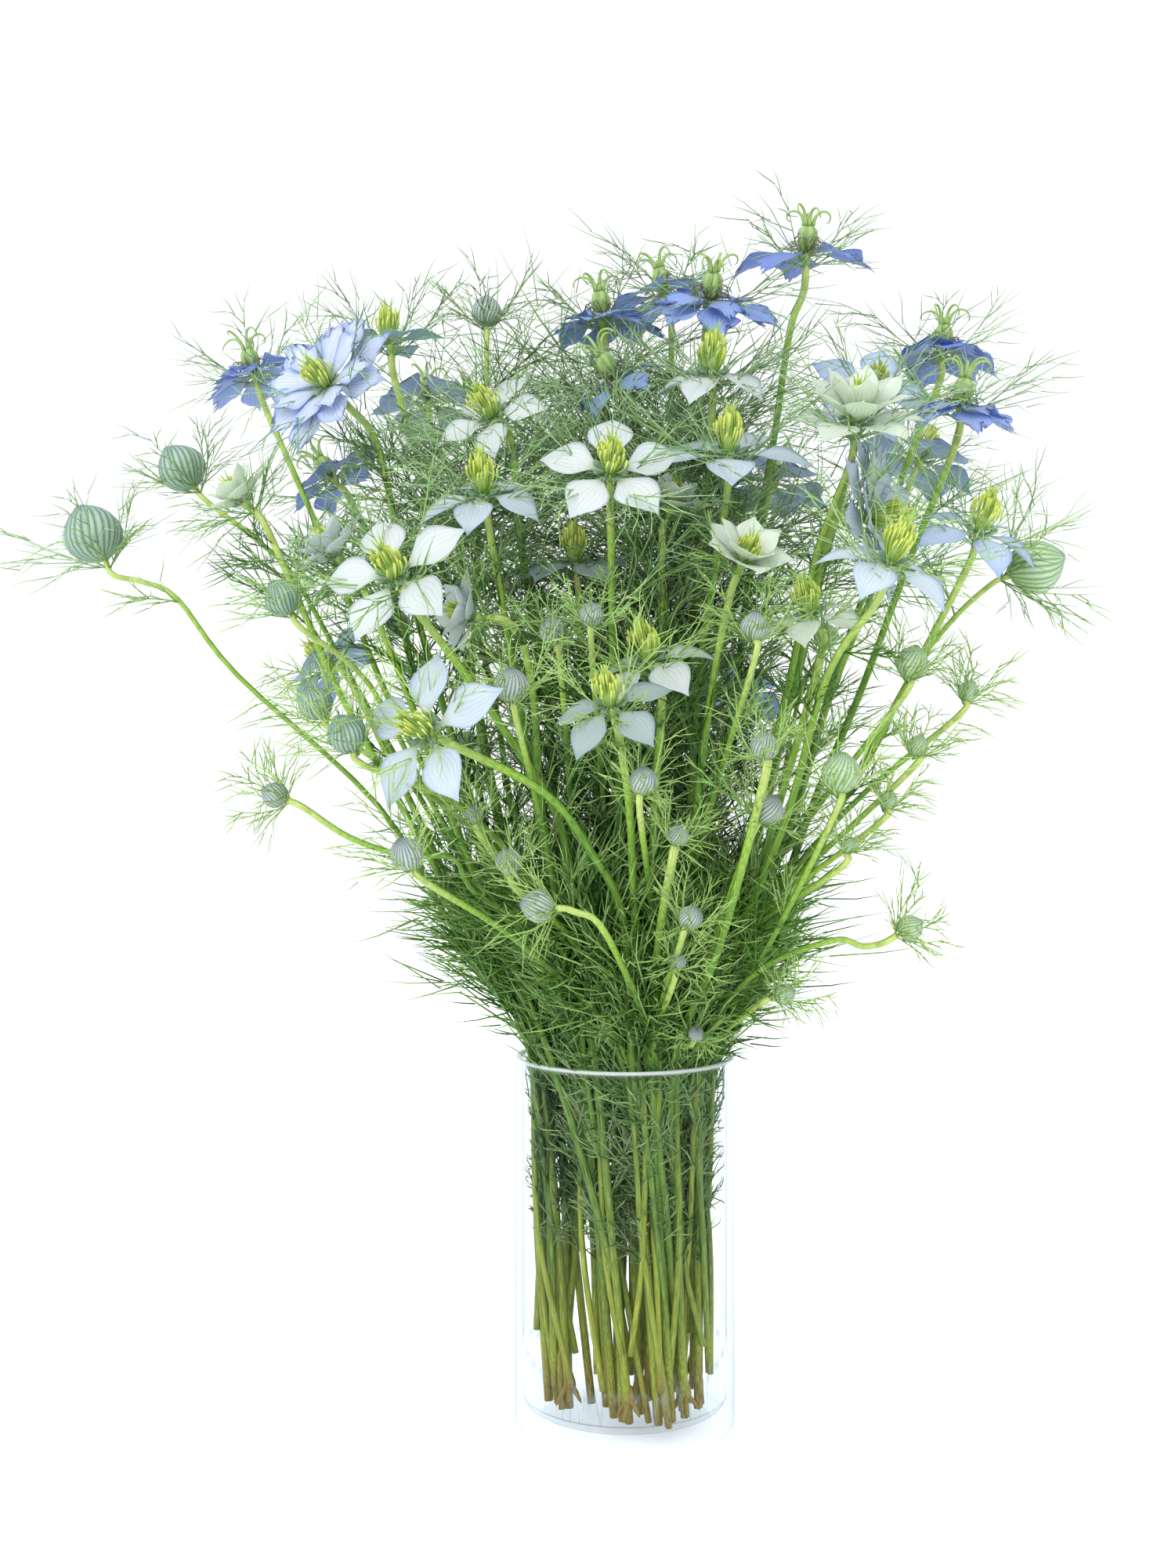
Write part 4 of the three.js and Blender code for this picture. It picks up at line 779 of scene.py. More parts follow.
STEM_GREEN = stem_green()
for plant, shoots in enumerate(GROWN):
    skins = [stem_skin(number, shoot) for number, shoot in shoots]
    if plant % ROOTED == 0:
        foot = shoots[0][1]["path"][0]
        skins.append(root_skin(foot, np.random.default_rng(50 + plant)))
    dress_plant(plant, "stem", skins, STEM_GREEN)

# ---- leaves and bracts ----
# Each leaf is cut two or three times over into green threads under a millimetre wide. Finer forked
# bracts make the mist: five stand round each bloom and each bud.

LEAF = dict(length=47.0, first=66.0, clear_of_head=15.0)  # first: the height of the lowest
# By height: how far apart leaves stand along a stem, their length and thickness as shares, and the
# bend of their midribs.
SPACING = [(66, 24), (105, 14), (135, 11), (165, 9), (200, 9.5), (250, 6.5), (320, 4.2), (390, 2.7)]
LENGTHS = [(80, 0.55), (140, 0.9), (170, 1.3), (200, 1.1), (380, 1.0)]
THICKNESSES = [(80, 1.0), (160, 1.3), (230, 1.05), (400, 0.85)]
BENDS = [(160, 0.04), (260, 0.24)]
BACK_THICKNESSES = [(10, 1.0), (70, 1.35)]  # and by place from front to back
# Places of the threads' greens in the UV map, from the mist at the top to the bracts round low buds.
# INNER_SHADE is painted shade: the dark green of threads inside the bunch. BRIGHT is where painted light
# takes threads at the front.
MISTY, BLUISH, INNER_SHADE, LEAFY, BRIGHT, LIGHT = 0.02, 0.22, 0.42, 0.6, 0.8, 0.98
THREAD_GREENS = [
    (MISTY, "#bcdccb"), (BLUISH, "#8cc29a"), (INNER_SHADE, "#27640f"), (LEAFY, "#56a824"),
    (BRIGHT, "#98d146"), (LIGHT, "#cfe47e"),
]
# The greatest height of a leaf's foot at places from left to right. Past BEHIND it is lower, by as
# much as the leaf is further back.
TOP = [(-180, 350), (-120, 382), (-80, 428), (0, 442), (46, 422), (60, 348), (97, 348), (115, 385),
       (150, 390)]
BEHIND, BEHIND_MOST = 25.0, 50.0


def tone_at(points, rng):
    """The greens of threads by their place: painted shade darkens them in the middle of the bunch,
    and painted light brightens them at the front.
    At the top most are of a bluish green, and paler at the outer edge."""
    y, z = points[..., 1], points[..., 2]
    out = how_far_out(points)
    # Painted shade: the further into the bunch a thread stands, and the lower in the glass, the darker
    # it is.
    tone = ramp(out * ramp(z, [(120, 0.65), (180, 1.0)]), [(0.45, INNER_SHADE), (0.9, LEAFY), (1.15, 0.68)])
    # Painted light: threads at the front, above the rim, are drawn towards BRIGHT.
    front = np.clip((-y - 10) / 60, 0, 1) * np.clip((z - 150) / 60, 0, 1)
    tone = tone + front * 0.45 * (BRIGHT - tone)
    top = np.clip((z - 315) / 95, 0, 1) * ramp(out, [(0.2, 0.55), (0.9, 0.8)])
    is_misty = rng.uniform(size=(len(points), 1)) < top
    tone = np.where(is_misty, BLUISH - 0.7 * np.clip(out - 0.75, 0, 0.25), tone)
    return tone + rng.normal(0, 0.045, tone.shape)


PAIRS = 4  # pairs of side threads on a leaf
FORKS = 2  # forks on each of those
RIB_POINTS = 5
STAGGER = 0.35  # how far the second thread of a pair stands from the first, as a share of the spacing
FIRST_PAIR, PAIRS_SPAN = 0.1, 0.84  # where on the midrib the pairs begin, and how far they spread
# Least and most, of a side thread and of a fork: the turn off what bears it and the lift off the
# leaf's face, both in radians, a side thread's length as a share, and the forks' places on it.
SIDE_TURN, SIDE_LIFT, SIDE_LENGTH = (0.4, 1.0), (-0.6, 0.65), (0.55, 1.3)
FORK_TURN, FORK_LIFT, FORK_PLACE = (0.25, 0.65), (-0.3, 0.3), (0.3, 0.72)
SIDE_STRAY, FORK_STRAY = 0.15, 0.07  # how far they stray from their places
SAG = 0.12  # how far a side thread's end hangs, as a share of its length
RIB_RADII = [(0, 0.5), (0.7, 0.36), (1, 0.2)]
SIDE_RADII, FORK_RADII = [0.36, 0.3, 0.18], [0.29, 0.25, 0.15]


def leaf_threads(root, ahead, face, length, rng, bend, fine, spread=1.0):
    """The threads of leaves. A midrib runs ahead and bends away from its face by the square of the
    way along it. Side threads leave it in pairs, turned aside and a little up or down, and each
    bears forks, turned again. Both are shorter towards the tip of what bears them. Returns three
    groups of paths with their radii."""
    many = len(root)
    aside = np.cross(face, ahead)
    size = length[:, None, None]
    bend = np.broadcast_to(bend, (many,))[:, None, None]
    fine = np.broadcast_to(fine, (many,))[:, None]
    spread = np.broadcast_to(spread, (many,))[:, None]

    def on_rib(t):
        return (root[:, None] + size * t[..., None] * ahead[:, None]
                - size * bend * (t ** 2)[..., None] * face[:, None])

    t = np.linspace(0, 1, RIB_POINTS)
    rib = on_rib(t[None].repeat(many, 0))
    slots = (np.arange(PAIRS)[:, None] + [0.0, STAGGER]).ravel()
    hand = np.tile([1.0, -1.0], PAIRS)
    stray = rng.uniform(-SIDE_STRAY, SIDE_STRAY, (many, 2 * PAIRS))
    at = FIRST_PAIR + PAIRS_SPAN * (slots[None] + stray) / PAIRS
    start = on_rib(at)
    turn = rng.uniform(*SIDE_TURN, at.shape) - 0.25 * at
    lift = rng.uniform(*SIDE_LIFT, at.shape)
    way = unit(np.cos(turn)[..., None] * ahead[:, None]
               + (np.sin(turn) * hand)[..., None] * aside[:, None] + lift[..., None] * face[:, None])
    reach = size * (spread * (0.69 - 0.42 * at) * rng.uniform(*SIDE_LENGTH, at.shape))[..., None]
    middle = start + 0.5 * reach * way + 0.2 * reach * ahead[:, None]
    end = start + reach * way - SAG * reach * face[:, None]
    side = np.stack([start, middle, end], 2).reshape(-1, 3, 3)
    places = (*at.shape, FORKS)
    share = np.linspace(*FORK_PLACE, FORKS) + rng.uniform(-FORK_STRAY, FORK_STRAY, places)
    sign = np.where(np.arange(FORKS) % 2, -1.0, 1.0) * hand[:, None]
    base = start[:, :, None] + share[..., None] * (end - start)[:, :, None]
    base = base + (2 * share * (1 - share))[..., None] * (2 * middle - start - end)[:, :, None]
    sideways = np.cross(way, face[:, None])[:, :, None] * sign[None, :, :, None]
    fork_way = unit(way[:, :, None] + rng.uniform(*FORK_TURN, places)[..., None] * sideways
                    + rng.uniform(*FORK_LIFT, places)[..., None] * face[:, None, None])
    fork_reach = reach[:, :, None] * (1.1 - 0.6 * share)[..., None]
    bent = base + fork_reach * (0.52 * fork_way + 0.06 * way[:, :, None])
    far = base + fork_reach * (0.8 * fork_way + 0.3 * way[:, :, None])
    fork = np.stack([base, bent, far], 3).reshape(-1, 3, 3)
    return ((rib, fine * ramp(t, RIB_RADII)),
            (side, np.repeat(fine, 2 * PAIRS, 0) * SIDE_RADII),
            (fork, np.repeat(fine, 2 * PAIRS * FORKS, 0) * FORK_RADII))


REACH = np.array([[value / MM for value in corner] for corner in CAD_BOX])  # of the whole bunch


def drawn_in(paths):
    """Paths of which only half of what stands past the bunch's reach is left."""
    inside = np.clip(paths, REACH[0], REACH[1])
    return (inside + paths) / 2


CLEAR_OF_GLASS = 1.2  # how far threads stay from the glass


def clear_of_glass(paths):
    """Paths kept out of the glass: those that start in the vase are pressed within its wall as far up
    as its rim, and the others stay above the rim where they pass it."""
    inside = VASE["radius"] - VASE["wall"] - CLEAR_OF_GLASS
    rim = VASE["height"] + CLEAR_OF_GLASS
    radius = np.maximum(np.hypot(paths[..., 0], paths[..., 1]), TINY)
    is_low = paths[..., 2] < rim
    starts_low = paths[:, :1, 2] < rim
    pressed = np.where(is_low & starts_low, np.minimum(1, inside / radius), 1)
    height = np.where(is_low & ~starts_low & (radius > inside), rim, paths[..., 2])
    return np.stack([paths[..., 0] * pressed, paths[..., 1] * pressed, height], 2)


PALER_TIP = 0.22  # how much paler a thread grows to its tip


def thread_skin(groups, shade, rng, brighter=0.0):
    """Rods along groups of paths. A path's shade is its leaf's, and paler at its tip, and its green
    goes by its place."""
    skins = []
    for paths, radii in groups:
        paths = clear_of_glass(drawn_in(paths))
        own = np.repeat(shade, len(paths) // len(shade))[:, None]
        paler = own + np.linspace(0, PALER_TIP, paths.shape[1])
        tone = tone_at(paths, rng)
        skins.append(rods(paths, radii, paler, tone + brighter * (LIGHT - tone)))
    return joined(skins)


BLOOMS = [shoot["head"] for shoot in SHOOTS if shoot["head"]["is_bloom"]]
BLOOM_AT = np.array([head["place"] for head in BLOOMS], float)
BLOOM_UP = unit(np.array([head["facing"] for head in BLOOMS], float))
BLOOM_RADIUS = np.array([head["radius"] for head in BLOOMS], float)
# How far the tips of leaves and of bracts may stand past the bunch's reach along each axis: less to
# the front and back, where their side threads spread furthest.
LEAF_OVER, BRACT_OVER = np.array([-2.0, -14.0, -3.0]), np.array([4.0, -10.0, 0.0])
FRONT_BLOOMS, TOP_BLOOMS = 25.0, 395.0  # blooms nearer than this, or higher, look out of the bunch
IN_GLASS = 145.0  # a leaf that starts lower stays in the glass
CUT_BACKS, CUT_BACK = 5, 0.82  # steps in which a leaf is cut back, and the share that each leaves
TURNS_UP, TURN_UP, SHORTEN = 6, 0.3, 0.87  # and in which it is turned up and shortened
OVER_A_BLOOM = (-3, 26)  # from how far under a bloom to how far over it a leaf would cover it
UNCOVERED = 0.55  # share of its length that such a leaf keeps


def within_reach(root, ahead, length, over):
    """Cuts each leaf back in steps while its tip is past the bunch's reach by more than over."""
    for _ in range(CUT_BACKS):
        tip = root + ahead * length[:, None]
        outside = ((tip < REACH[0] - over) | (tip > REACH[1] + over)).any(1)
        length = np.where(outside, length * CUT_BACK, length)
    return length


def before_a_bloom(points, wide):
    """Whether points stand before a bloom that looks out of the front or the top of the bunch."""
    off = points[:, None] - BLOOM_AT
    beside = np.hypot(off[..., 0], off[..., 2]) < BLOOM_RADIUS * wide
    in_sight = (BLOOM_AT[:, 1] < FRONT_BLOOMS) | (BLOOM_AT[:, 2] > TOP_BLOOMS)
    return (beside & (off[..., 1] < 2) & in_sight).any(1)


def kept_inside(root, ahead, along, length, limit):
    """Turns each leaf up along its stem and shortens it, in steps, while its tip is further out than
    its limit, and shortens each that would stand over a bloom or past the bunch's reach."""
    for _ in range(TURNS_UP):
        tip = root + ahead * length[:, None]
        past = how_far_out(tip) > limit
        ahead = np.where(past[:, None], unit(ahead + TURN_UP * along), ahead)
        length = np.where(past, length * SHORTEN, length)
    for share in (0.6, 1.0):
        point = root + ahead * (length * share)[:, None]
        off = point[:, None] - BLOOM_AT
        high = (off * BLOOM_UP).sum(2)
        out = np.sqrt(np.maximum((off ** 2).sum(2) - high ** 2, 0))
        is_over = (high > OVER_A_BLOOM[0]) & (high < OVER_A_BLOOM[1])
        covers = (is_over & (out < BLOOM_RADIUS * 0.95)).any(1) | before_a_bloom(point, 1.1)
        length = np.where(covers, length * UNCOVERED, length)
    return ahead, within_reach(root, ahead, length, LEAF_OVER)


def bare_band(height):
    """1 in the middle of the bunch, where the outer stems bear few leaves, and 0 above and below."""
    return np.clip((height - 175) / 35, 0, 1) * np.clip((350 - height) / 30, 0, 1)


def high_up(height):
    """1 in the top of the bunch and 0 below."""
    return np.clip((height - 280) / 100, 0, 1)


def place_on(shoot, at):
    """The points at distances along a shoot's stem."""
    return np.stack([np.interp(at, shoot["run"], shoot["path"][:, axis]) for axis in range(3)], 1)


def leaf_feet(shoot, number, rng):
    """Where a shoot's leaves grow, as distances along its stem: from the vase to below its head, closer
    the higher they are, as the bunch widens there. Left out are most of the outer ones in the bare
    band and near the top, and all that would stand above the foliage's top or before a bloom."""
    path, run, head = shoot["path"], shoot["run"], shoot["head"]
    low = np.interp(LEAF["first"], path[:, 2], run) if path[0, 2] < LEAF["first"] else 4.0
    high = run[-1] - LEAF["clear_of_head"] - (0 if head["is_bloom"] else head["radius"])
    count = np.cumsum(np.diff(run, prepend=0) / ramp(path[:, 2], SPACING))
    wanted = np.arange(np.interp(low, run, count) + 0.17 * (number % 6), np.interp(high, run, count))
    at = np.interp(wanted, count, run) + rng.uniform(-2, 2, len(wanted))
    root = place_on(shoot, at)
    out = how_far_out(root)
    kept = (out < 1.0) | (rng.uniform(size=len(at)) < 0.45)
    kept &= rng.uniform(size=len(at)) > bare_band(root[:, 2]) * ramp(out, [(0.3, 0.0), (0.65, 0.9)])
    behind = np.clip(root[:, 1] - BEHIND, 0, BEHIND_MOST)
    kept &= root[:, 2] < ramp(root[:, 0], TOP) - behind
    kept &= ~before_a_bloom(root, 0.8)
    kept &= rng.uniform(size=len(at)) > high_up(root[:, 2]) * ramp(out, [(0.45, 0), (0.9, 0.84)])
    return at[kept]


LEANS = [(150, 0.4), (280, 0.95)]  # from the stem, in radians, by height
LEAN_STRAY, LENGTH_STRAY = (-0.15, 0.25), (0.7, 1.2)  # least and most: added to it, and a share
OUTLYING = 0.45  # share of its length that a leaf has if its foot is past the outline
# The limits that leaves keep to, by how far out their tips are: most of them, those in the glass and
# the inner ones of the bare band, which reach a little further than their feet.
LIMIT, LIMIT_STRAY, GLASS_LIMIT, BAND_REACH, BAND_LIMIT = 1.0, 0.22, 0.88, 0.14, 0.42


def leaf_skins(shoot, number):
    """The leaves of one shoot, if it has any, set round it by the golden angle. Each leans out from
    the stem, and in the glass those by the wall lie along it."""
    rng = np.random.default_rng(700 + number)
    at = leaf_feet(shoot, number, rng)
    if len(at) == 0:
        return []
    root = place_on(shoot, at)
    height = root[:, 2]
    along = unit(place_on(shoot, at + 2) - root + [0, 0, 1e-6])
    first = unit(np.cross(along, (0.0, 1.0, 0.0)))
    second = np.cross(along, first)
    turn = GOLDEN * np.arange(len(at)) + 1.7 * number
    out = np.cos(turn)[:, None] * first + np.sin(turn)[:, None] * second
    out_here = how_far_out(root)
    in_glass = height < IN_GLASS
    radial = unit(root * [1, 1, 0])
    by_wall = (in_glass & (out_here > 0.4))[:, None]
    hand = np.sign((out * np.cross(radial, along)).sum(1, keepdims=True))
    out = np.where(by_wall, unit(hand * np.cross(radial, along) - 0.25 * radial), out)
    lean = ramp(height, LEANS) + rng.uniform(*LEAN_STRAY, len(at))
    ahead = unit(np.cos(lean)[:, None] * along + np.sin(lean)[:, None] * out)
    length = LEAF["length"] * rng.uniform(*LENGTH_STRAY, len(at)) * ramp(height, LENGTHS)
    length = length * np.where(out_here < 1.0, 1, OUTLYING)
    limit = LIMIT + LIMIT_STRAY * rng.uniform(0, 1, len(at)) ** 3 + np.maximum(out_here - 0.95, 0)
    limit = np.where(in_glass, GLASS_LIMIT, limit)
    inner = np.maximum(out_here + BAND_REACH, BAND_LIMIT)
    limit = np.where((bare_band(height) > 0.5) & (out_here < 0.7), inner, limit)
    ahead, length = kept_inside(root, ahead, along, length, limit)
    over = np.where(by_wall, radial, along)
    face = unit(over - (over * ahead).sum(1, keepdims=True) * ahead)
    fine = ramp(height, THICKNESSES) * ramp(root[:, 1], BACK_THICKNESSES)
    spread = np.where(in_glass, 0.8, 1.0 + 0.3 * high_up(height))
    groups = leaf_threads(root, ahead, face, length, rng, ramp(height, BENDS), fine, spread)
    shade = rng.uniform(0.0, 1.05, len(at)) ** (1.4 - 0.6 * high_up(height)) + 0.2 * high_up(height)
    return [thread_skin(groups, shade, rng)]


BRACTS = 5
BRACT_THICKNESS = 0.75  # as a share of a leaf's
BRACT_STRAY = dict(turn=0.2, lean=0.15)  # radians to each side
# The bracts of a bloom and of a bud: how far under it they grow and how long they are, both as a
# share of its radius and so much more, how far they lean out, and how they curve up. Those of low
# buds curve up more.
BLOOM_BRACTS = dict(down=(0.0, 5.0), length=(1.75, 0.0), lean=1.2, curve=0.36, more_if_low=0.0)
BUD_BRACTS = dict(down=(1.35, 0.0), length=(2.1, 11.0), lean=1.0, curve=0.35, more_if_low=1.0)
LOW_HEADS = [(280, 1.0), (360, 0.0)]  # how low down a head is, by its height


def bract_skin(head, number):
    """The five bracts under a head. Each rises from the stem, swings out past the petals or round the
    bud and curves up, and bears long side threads that fork."""
    rng = np.random.default_rng(900 + number)
    centre, up, side, front = head_axes(head)
    kind = BLOOM_BRACTS if head["is_bloom"] else BUD_BRACTS
    down, length = (kind[size][0] * head["radius"] + kind[size][1] for size in ("down", "length"))
    even = np.arange(BRACTS) * 2 * np.pi / BRACTS
    turn = even + rng.uniform(-BRACT_STRAY["turn"], BRACT_STRAY["turn"], BRACTS) + number
    out = np.cos(turn)[:, None] * side + np.sin(turn)[:, None] * front
    lean = kind["lean"] + rng.uniform(-BRACT_STRAY["lean"], BRACT_STRAY["lean"], BRACTS)
    ahead = unit(np.sin(lean)[:, None] * out + np.cos(lean)[:, None] * up)
    face = unit(up - (ahead @ up)[:, None] * ahead)
    length = length * rng.uniform(0.85, 1.2, BRACTS)
    root = np.repeat((centre - down * up)[None], BRACTS, 0)
    low_down = ramp(centre[2], LOW_HEADS)
    bend = -kind["curve"] * (1 + kind["more_if_low"] * low_down)
    length = within_reach(root, ahead - bend * face, length, BRACT_OVER)
    groups = leaf_threads(root, ahead, face, length, rng, bend, BRACT_THICKNESS)
    return thread_skin(groups, rng.uniform(0.5, 1.0, BRACTS), rng, 0.5 * low_down)


def leaf_light(tree, shader, output, colour, share, glow):
    """Lets a share of the light through to the far side, in the colour times glow."""
    lit = blended(tree, 1.0, colour, tint(glow), "MULTIPLY")
    through = add_node(tree, "ShaderNodeBsdfTranslucent", Color=lit)
    mixed = mixed_light(tree, share, shader, through)
    tree.links.new(mixed.outputs[0], output.inputs["Surface"])


def mottled(tree, u, uv, across, along, strength):
    """The first number of the map, made uneven by grain."""
    mottle = reckon(tree, "MULTIPLY_ADD", grain(tree, uv, across, along), strength, -strength / 2)
    return reckon(tree, "ADD", u, mottle)


def thread_green():
    """Leaf threads: the green of their place, darker or paler from thread to thread."""
    finish, shader, output = new_finish("thread_green")
    tree = finish.node_tree
    u, v, uv = own_map(tree)
    uneven = mottled(tree, u, uv, 25, 25, 0.5)
    colour = two_toned(tree, dyed(tree, v, THREAD_GREENS), uneven, "#8ba072", "#dcf0b4", 0.46)
    plug(tree, shader, Base_Color=colour, Roughness=0.55, Specular_IOR_Level=0.12)
    leaf_light(tree, shader, output, colour, 0.25, "#eef7a0")
    return finish


THREAD_GREEN = thread_green()
for plant, shoots in enumerate(GROWN):
    skins = []
    for number, shoot in shoots:
        skins += [*leaf_skins(shoot, number), bract_skin(shoot["head"], number)]
    dress_plant(plant, "leaves", skins, THREAD_GREEN)

# ---- petals ----
# Thin coloured sepals, which stand for petals, on narrow claws. Fresh blooms have five broad ones
# that end in a point. Double blooms have two or three rings, with torn tips.

# Half width along a petal, as shares of its widest: where, how wide if it is whole, and if it is torn.
SHAPE = np.array([
    (0.0, 0.07, 0.09), (0.12, 0.08, 0.10), (0.22, 0.14, 0.17), (0.33, 0.5, 0.42), (0.45, 0.9, 0.70),
    (0.56, 1.0, 0.90), (0.67, 0.88, 1.0), (0.78, 0.62, 0.94), (0.87, 0.33, 0.84), (0.94, 0.12, 0.7),
    (1.0, 0.0, 0.5),
])
NARROWEST = [(0, 0.85), (0.16, 1.0), (1, 0.12)]  # half width along it that any petal has
# How far the tip falls short at each place across: not at all, or in torn teeth.
TORN = np.array([0.42, 0.3, 0.34, 0.14, 0.2, 0.0, 0.2, 0.14, 0.34, 0.3, 0.42])
# The rings of petals of a kind of bloom: how many, their length and half width as shares of the
# bloom's radius, how many degrees their foot and tip rise, and how torn they are from 0 to 1.
RINGS = {
    ("open", "fresh"): [(5, 1.32, 0.4, 20, -18, 0.05)],
    ("starry", "fresh"): [(5, 1.38, 0.36, 16, -22, 0.0)],
    ("drooping", "fresh"): [(5, 1.32, 0.39, 12, -46, 0.0)],
    ("cupped", "fresh"): [(5, 1.5, 0.5, 40, 8, 0.1), (5, 1.35, 0.42, 62, 40, 0.2)],
    ("hidden", "fresh"): [(6, 1.6, 0.52, 12, -34, 0.3)],
    ("fan", "fresh"): [(9, 1.5, 0.34, 14, 2, 0.5), (8, 1.2, 0.3, 26, 16, 0.6)],
    ("layered", "fresh"): [(8, 1.22, 0.33, 12, -12, 0.6), (7, 1.0, 0.28, 26, 4, 0.7)],
    ("double", "fresh"): [(6, 1.55, 0.42, 22, -22, 0.2), (6, 1.45, 0.38, 48, 22, 0.2),
                          (5, 1.3, 0.32, 70, 52, 0.3)],
    ("layered", "old"): [(7, 1.32, 0.39, -2, -38, 0.8), (6, 1.0, 0.36, 6, -26, 0.9)],
    ("hidden", "old"): [(6, 1.6, 0.52, 12, -34, 0.7)],
    ("drooping", "old"): [(5, 1.32, 0.39, 12, -46, 0.7)],
    ("starry", "old"): [(5, 1.38, 0.36, 16, -22, 0.7)],
}
CLAW = 2.96  # radius from which the petals of the solid reach out
CLAW_FOOT = 0.9  # radius where they grow from the flower's base
CUPPING = 0.2  # how much a petal's sides rise, as a share of its half width
RUFFLE, TORN_RUFFLE = 0.05, 0.12  # shares by which its edge waves, and more if it is torn
LAYER_LIFT = 1.1  # height of each ring above the one before
ALONG, ACROSS, ACROSS_TORN = 13, 7, 11  # points on a petal
SHEET = 0.32  # thickness of a petal
SHEET_ALONG = [(0, 1.6), (0.8, 1), (1, 0.5)]
# How unlike petals are, to each side: their angle, the rise of foot and tip in degrees, and a swing.
STRAY_ANGLE, STRAY_FOOT, STRAY_TIP, STRAY_SWING = 0.08, 8, 12, 0.14


def petal_skin(head, ring, layer, index, rng):
    """One petal. Its middle line leans from foot to tip as it runs out, its half width follows the
    shape, its tip falls short by the torn teeth, its sides rise by the square of the way across, and
    the sheet is closed by an underside at its thickness below."""
    centre, up, side, front = head_axes(head)
    petals, length, wide, foot, tip, torn = ring
    angle = head["spin"] + (index + layer / 2) * 2 * np.pi / petals
    angle = angle + rng.uniform(-STRAY_ANGLE, STRAY_ANGLE)
    radial = np.cos(angle) * side + np.sin(angle) * front
    tangent = np.cross(up, radial)
    along = np.linspace(0, 1, ALONG)[:, None] ** 0.9
    across = ACROSS if torn < 0.5 else ACROSS_TORN
    t = np.linspace(-1, 1, across)[None]
    teeth = np.interp(np.linspace(0, 1, across), np.linspace(0, 1, len(TORN)), TORN)
    short = torn * teeth * rng.uniform(0.6, 1.3, across)
    s = along - short * np.clip((along - 0.5) / 0.5, 0, 1) ** 1.5
    foot = np.radians(foot + rng.uniform(-STRAY_FOOT, STRAY_FOOT))
    tip = np.radians(tip + rng.uniform(-STRAY_TIP, STRAY_TIP))
    lean = foot + (tip - foot) * s
    mean = (foot + lean) / 2
    reach = (head["radius"] - CLAW) * length * rng.uniform(0.93, 1.07)
    out = CLAW_FOOT + (reach + CLAW - CLAW_FOOT) * s * np.cos(mean)
    high = layer * LAYER_LIFT + reach * s * np.sin(mean)
    whole, ragged = (np.interp(along, SHAPE[:, 0], SHAPE[:, i]) for i in (1, 2))
    width = head["radius"] * wide * (whole + min(1.0, 2 * torn) * (ragged - whole))
    width = np.maximum(width, ramp(along, NARROWEST))
    swing = rng.uniform(-STRAY_SWING, STRAY_SWING) * reach * s ** 2
    wave = rng.uniform(0, 6)
    ruffle = (RUFFLE + TORN_RUFFLE * torn) * width * np.sin(8 * s + 2 * t + wave) * np.abs(t)
    rise = CUPPING * width * (t ** 2 - 0.3) + ruffle
    thick = SHEET * (1 - 0.75 * t ** 4) * ramp(along, SHEET_ALONG)
    sheets = []
    for face in (0.5, -0.5):
        lifted = rise + face * thick
        sheets.append(centre + (out - lifted * np.sin(lean))[..., None] * radial
                      + (width * t + swing)[..., None] * tangent
                      + (high + lifted * np.cos(lean))[..., None] * up)
    points = np.concatenate([sheet.reshape(-1, 3) for sheet in sheets])
    grid = np.arange(ALONG * across).reshape(ALONG, across)
    over = np.stack([grid[:-1, :-1], grid[1:, :-1], grid[1:, 1:], grid[:-1, 1:]], 2).reshape(-1, 4)
    rim = np.concatenate([grid[:, 0], grid[-1, 1:], grid[-2::-1, -1], grid[0, -2:0:-1]])
    after = np.roll(rim, -1)
    below = ALONG * across
    edge = np.stack([after, rim, rim + below, after + below], 1)
    quads = np.concatenate([over, over[:, ::-1] + below, edge])
    u = 0.5 + 0.48 * np.broadcast_to(t, (ALONG, across))
    v = 0.01 + 0.46 * s
    uv = np.concatenate([np.stack([u, v], 2).reshape(-1, 2), np.stack([u, 1 - v], 2).reshape(-1, 2)])
    return points, quads, np.zeros((0, 3), int), uv


# The colours of a dye: body of the petal, its edge and tip, its veins, and its underside.
DYES = {
    "white": ("#eaeeec", "#dbe4e9", "#a3b5c4", "#e0e8e8"),
    "icy": ("#e0e8ed", "#c2d5ec", "#93adce", "#cedbe8"),
    "pale": ("#d6e1ef", "#aec8ee", "#7d9bd0", "#bfd2ea"),
    "lavender": ("#ecf1f8", "#8fafee", "#6286d6", "#b4caea"),
    "violet": ("#b2c5ef", "#8aa6e6", "#5f7dc6", "#b2c5e8"),
    "blue": ("#abc4f2", "#80a0e8", "#5074c8", "#a8c0e6"),
    "deep": ("#92abe6", "#6c8ada", "#4664b8", "#9fb4e2"),
    "slate": ("#a4b8d6", "#8ea6ce", "#6985b2", "#a0b4ca"),
    "sea": ("#a9c6d8", "#8fb2ce", "#6a90b2", "#a0beb6"),
    "greenish": ("#eff4ec", "#dfeadc", "#a9bea0", "#e2ecd8"),
    # shade is painted shade: a greyer dye for the blooms that stand in shadow inside the bunch.
    "shade": ("#b9c9c6", "#a2b8c0", "#7f97a4", "#a6baac"),
}
CLAW_GREEN = "#b4c487"
VEINS = 9.0  # veins across a petal


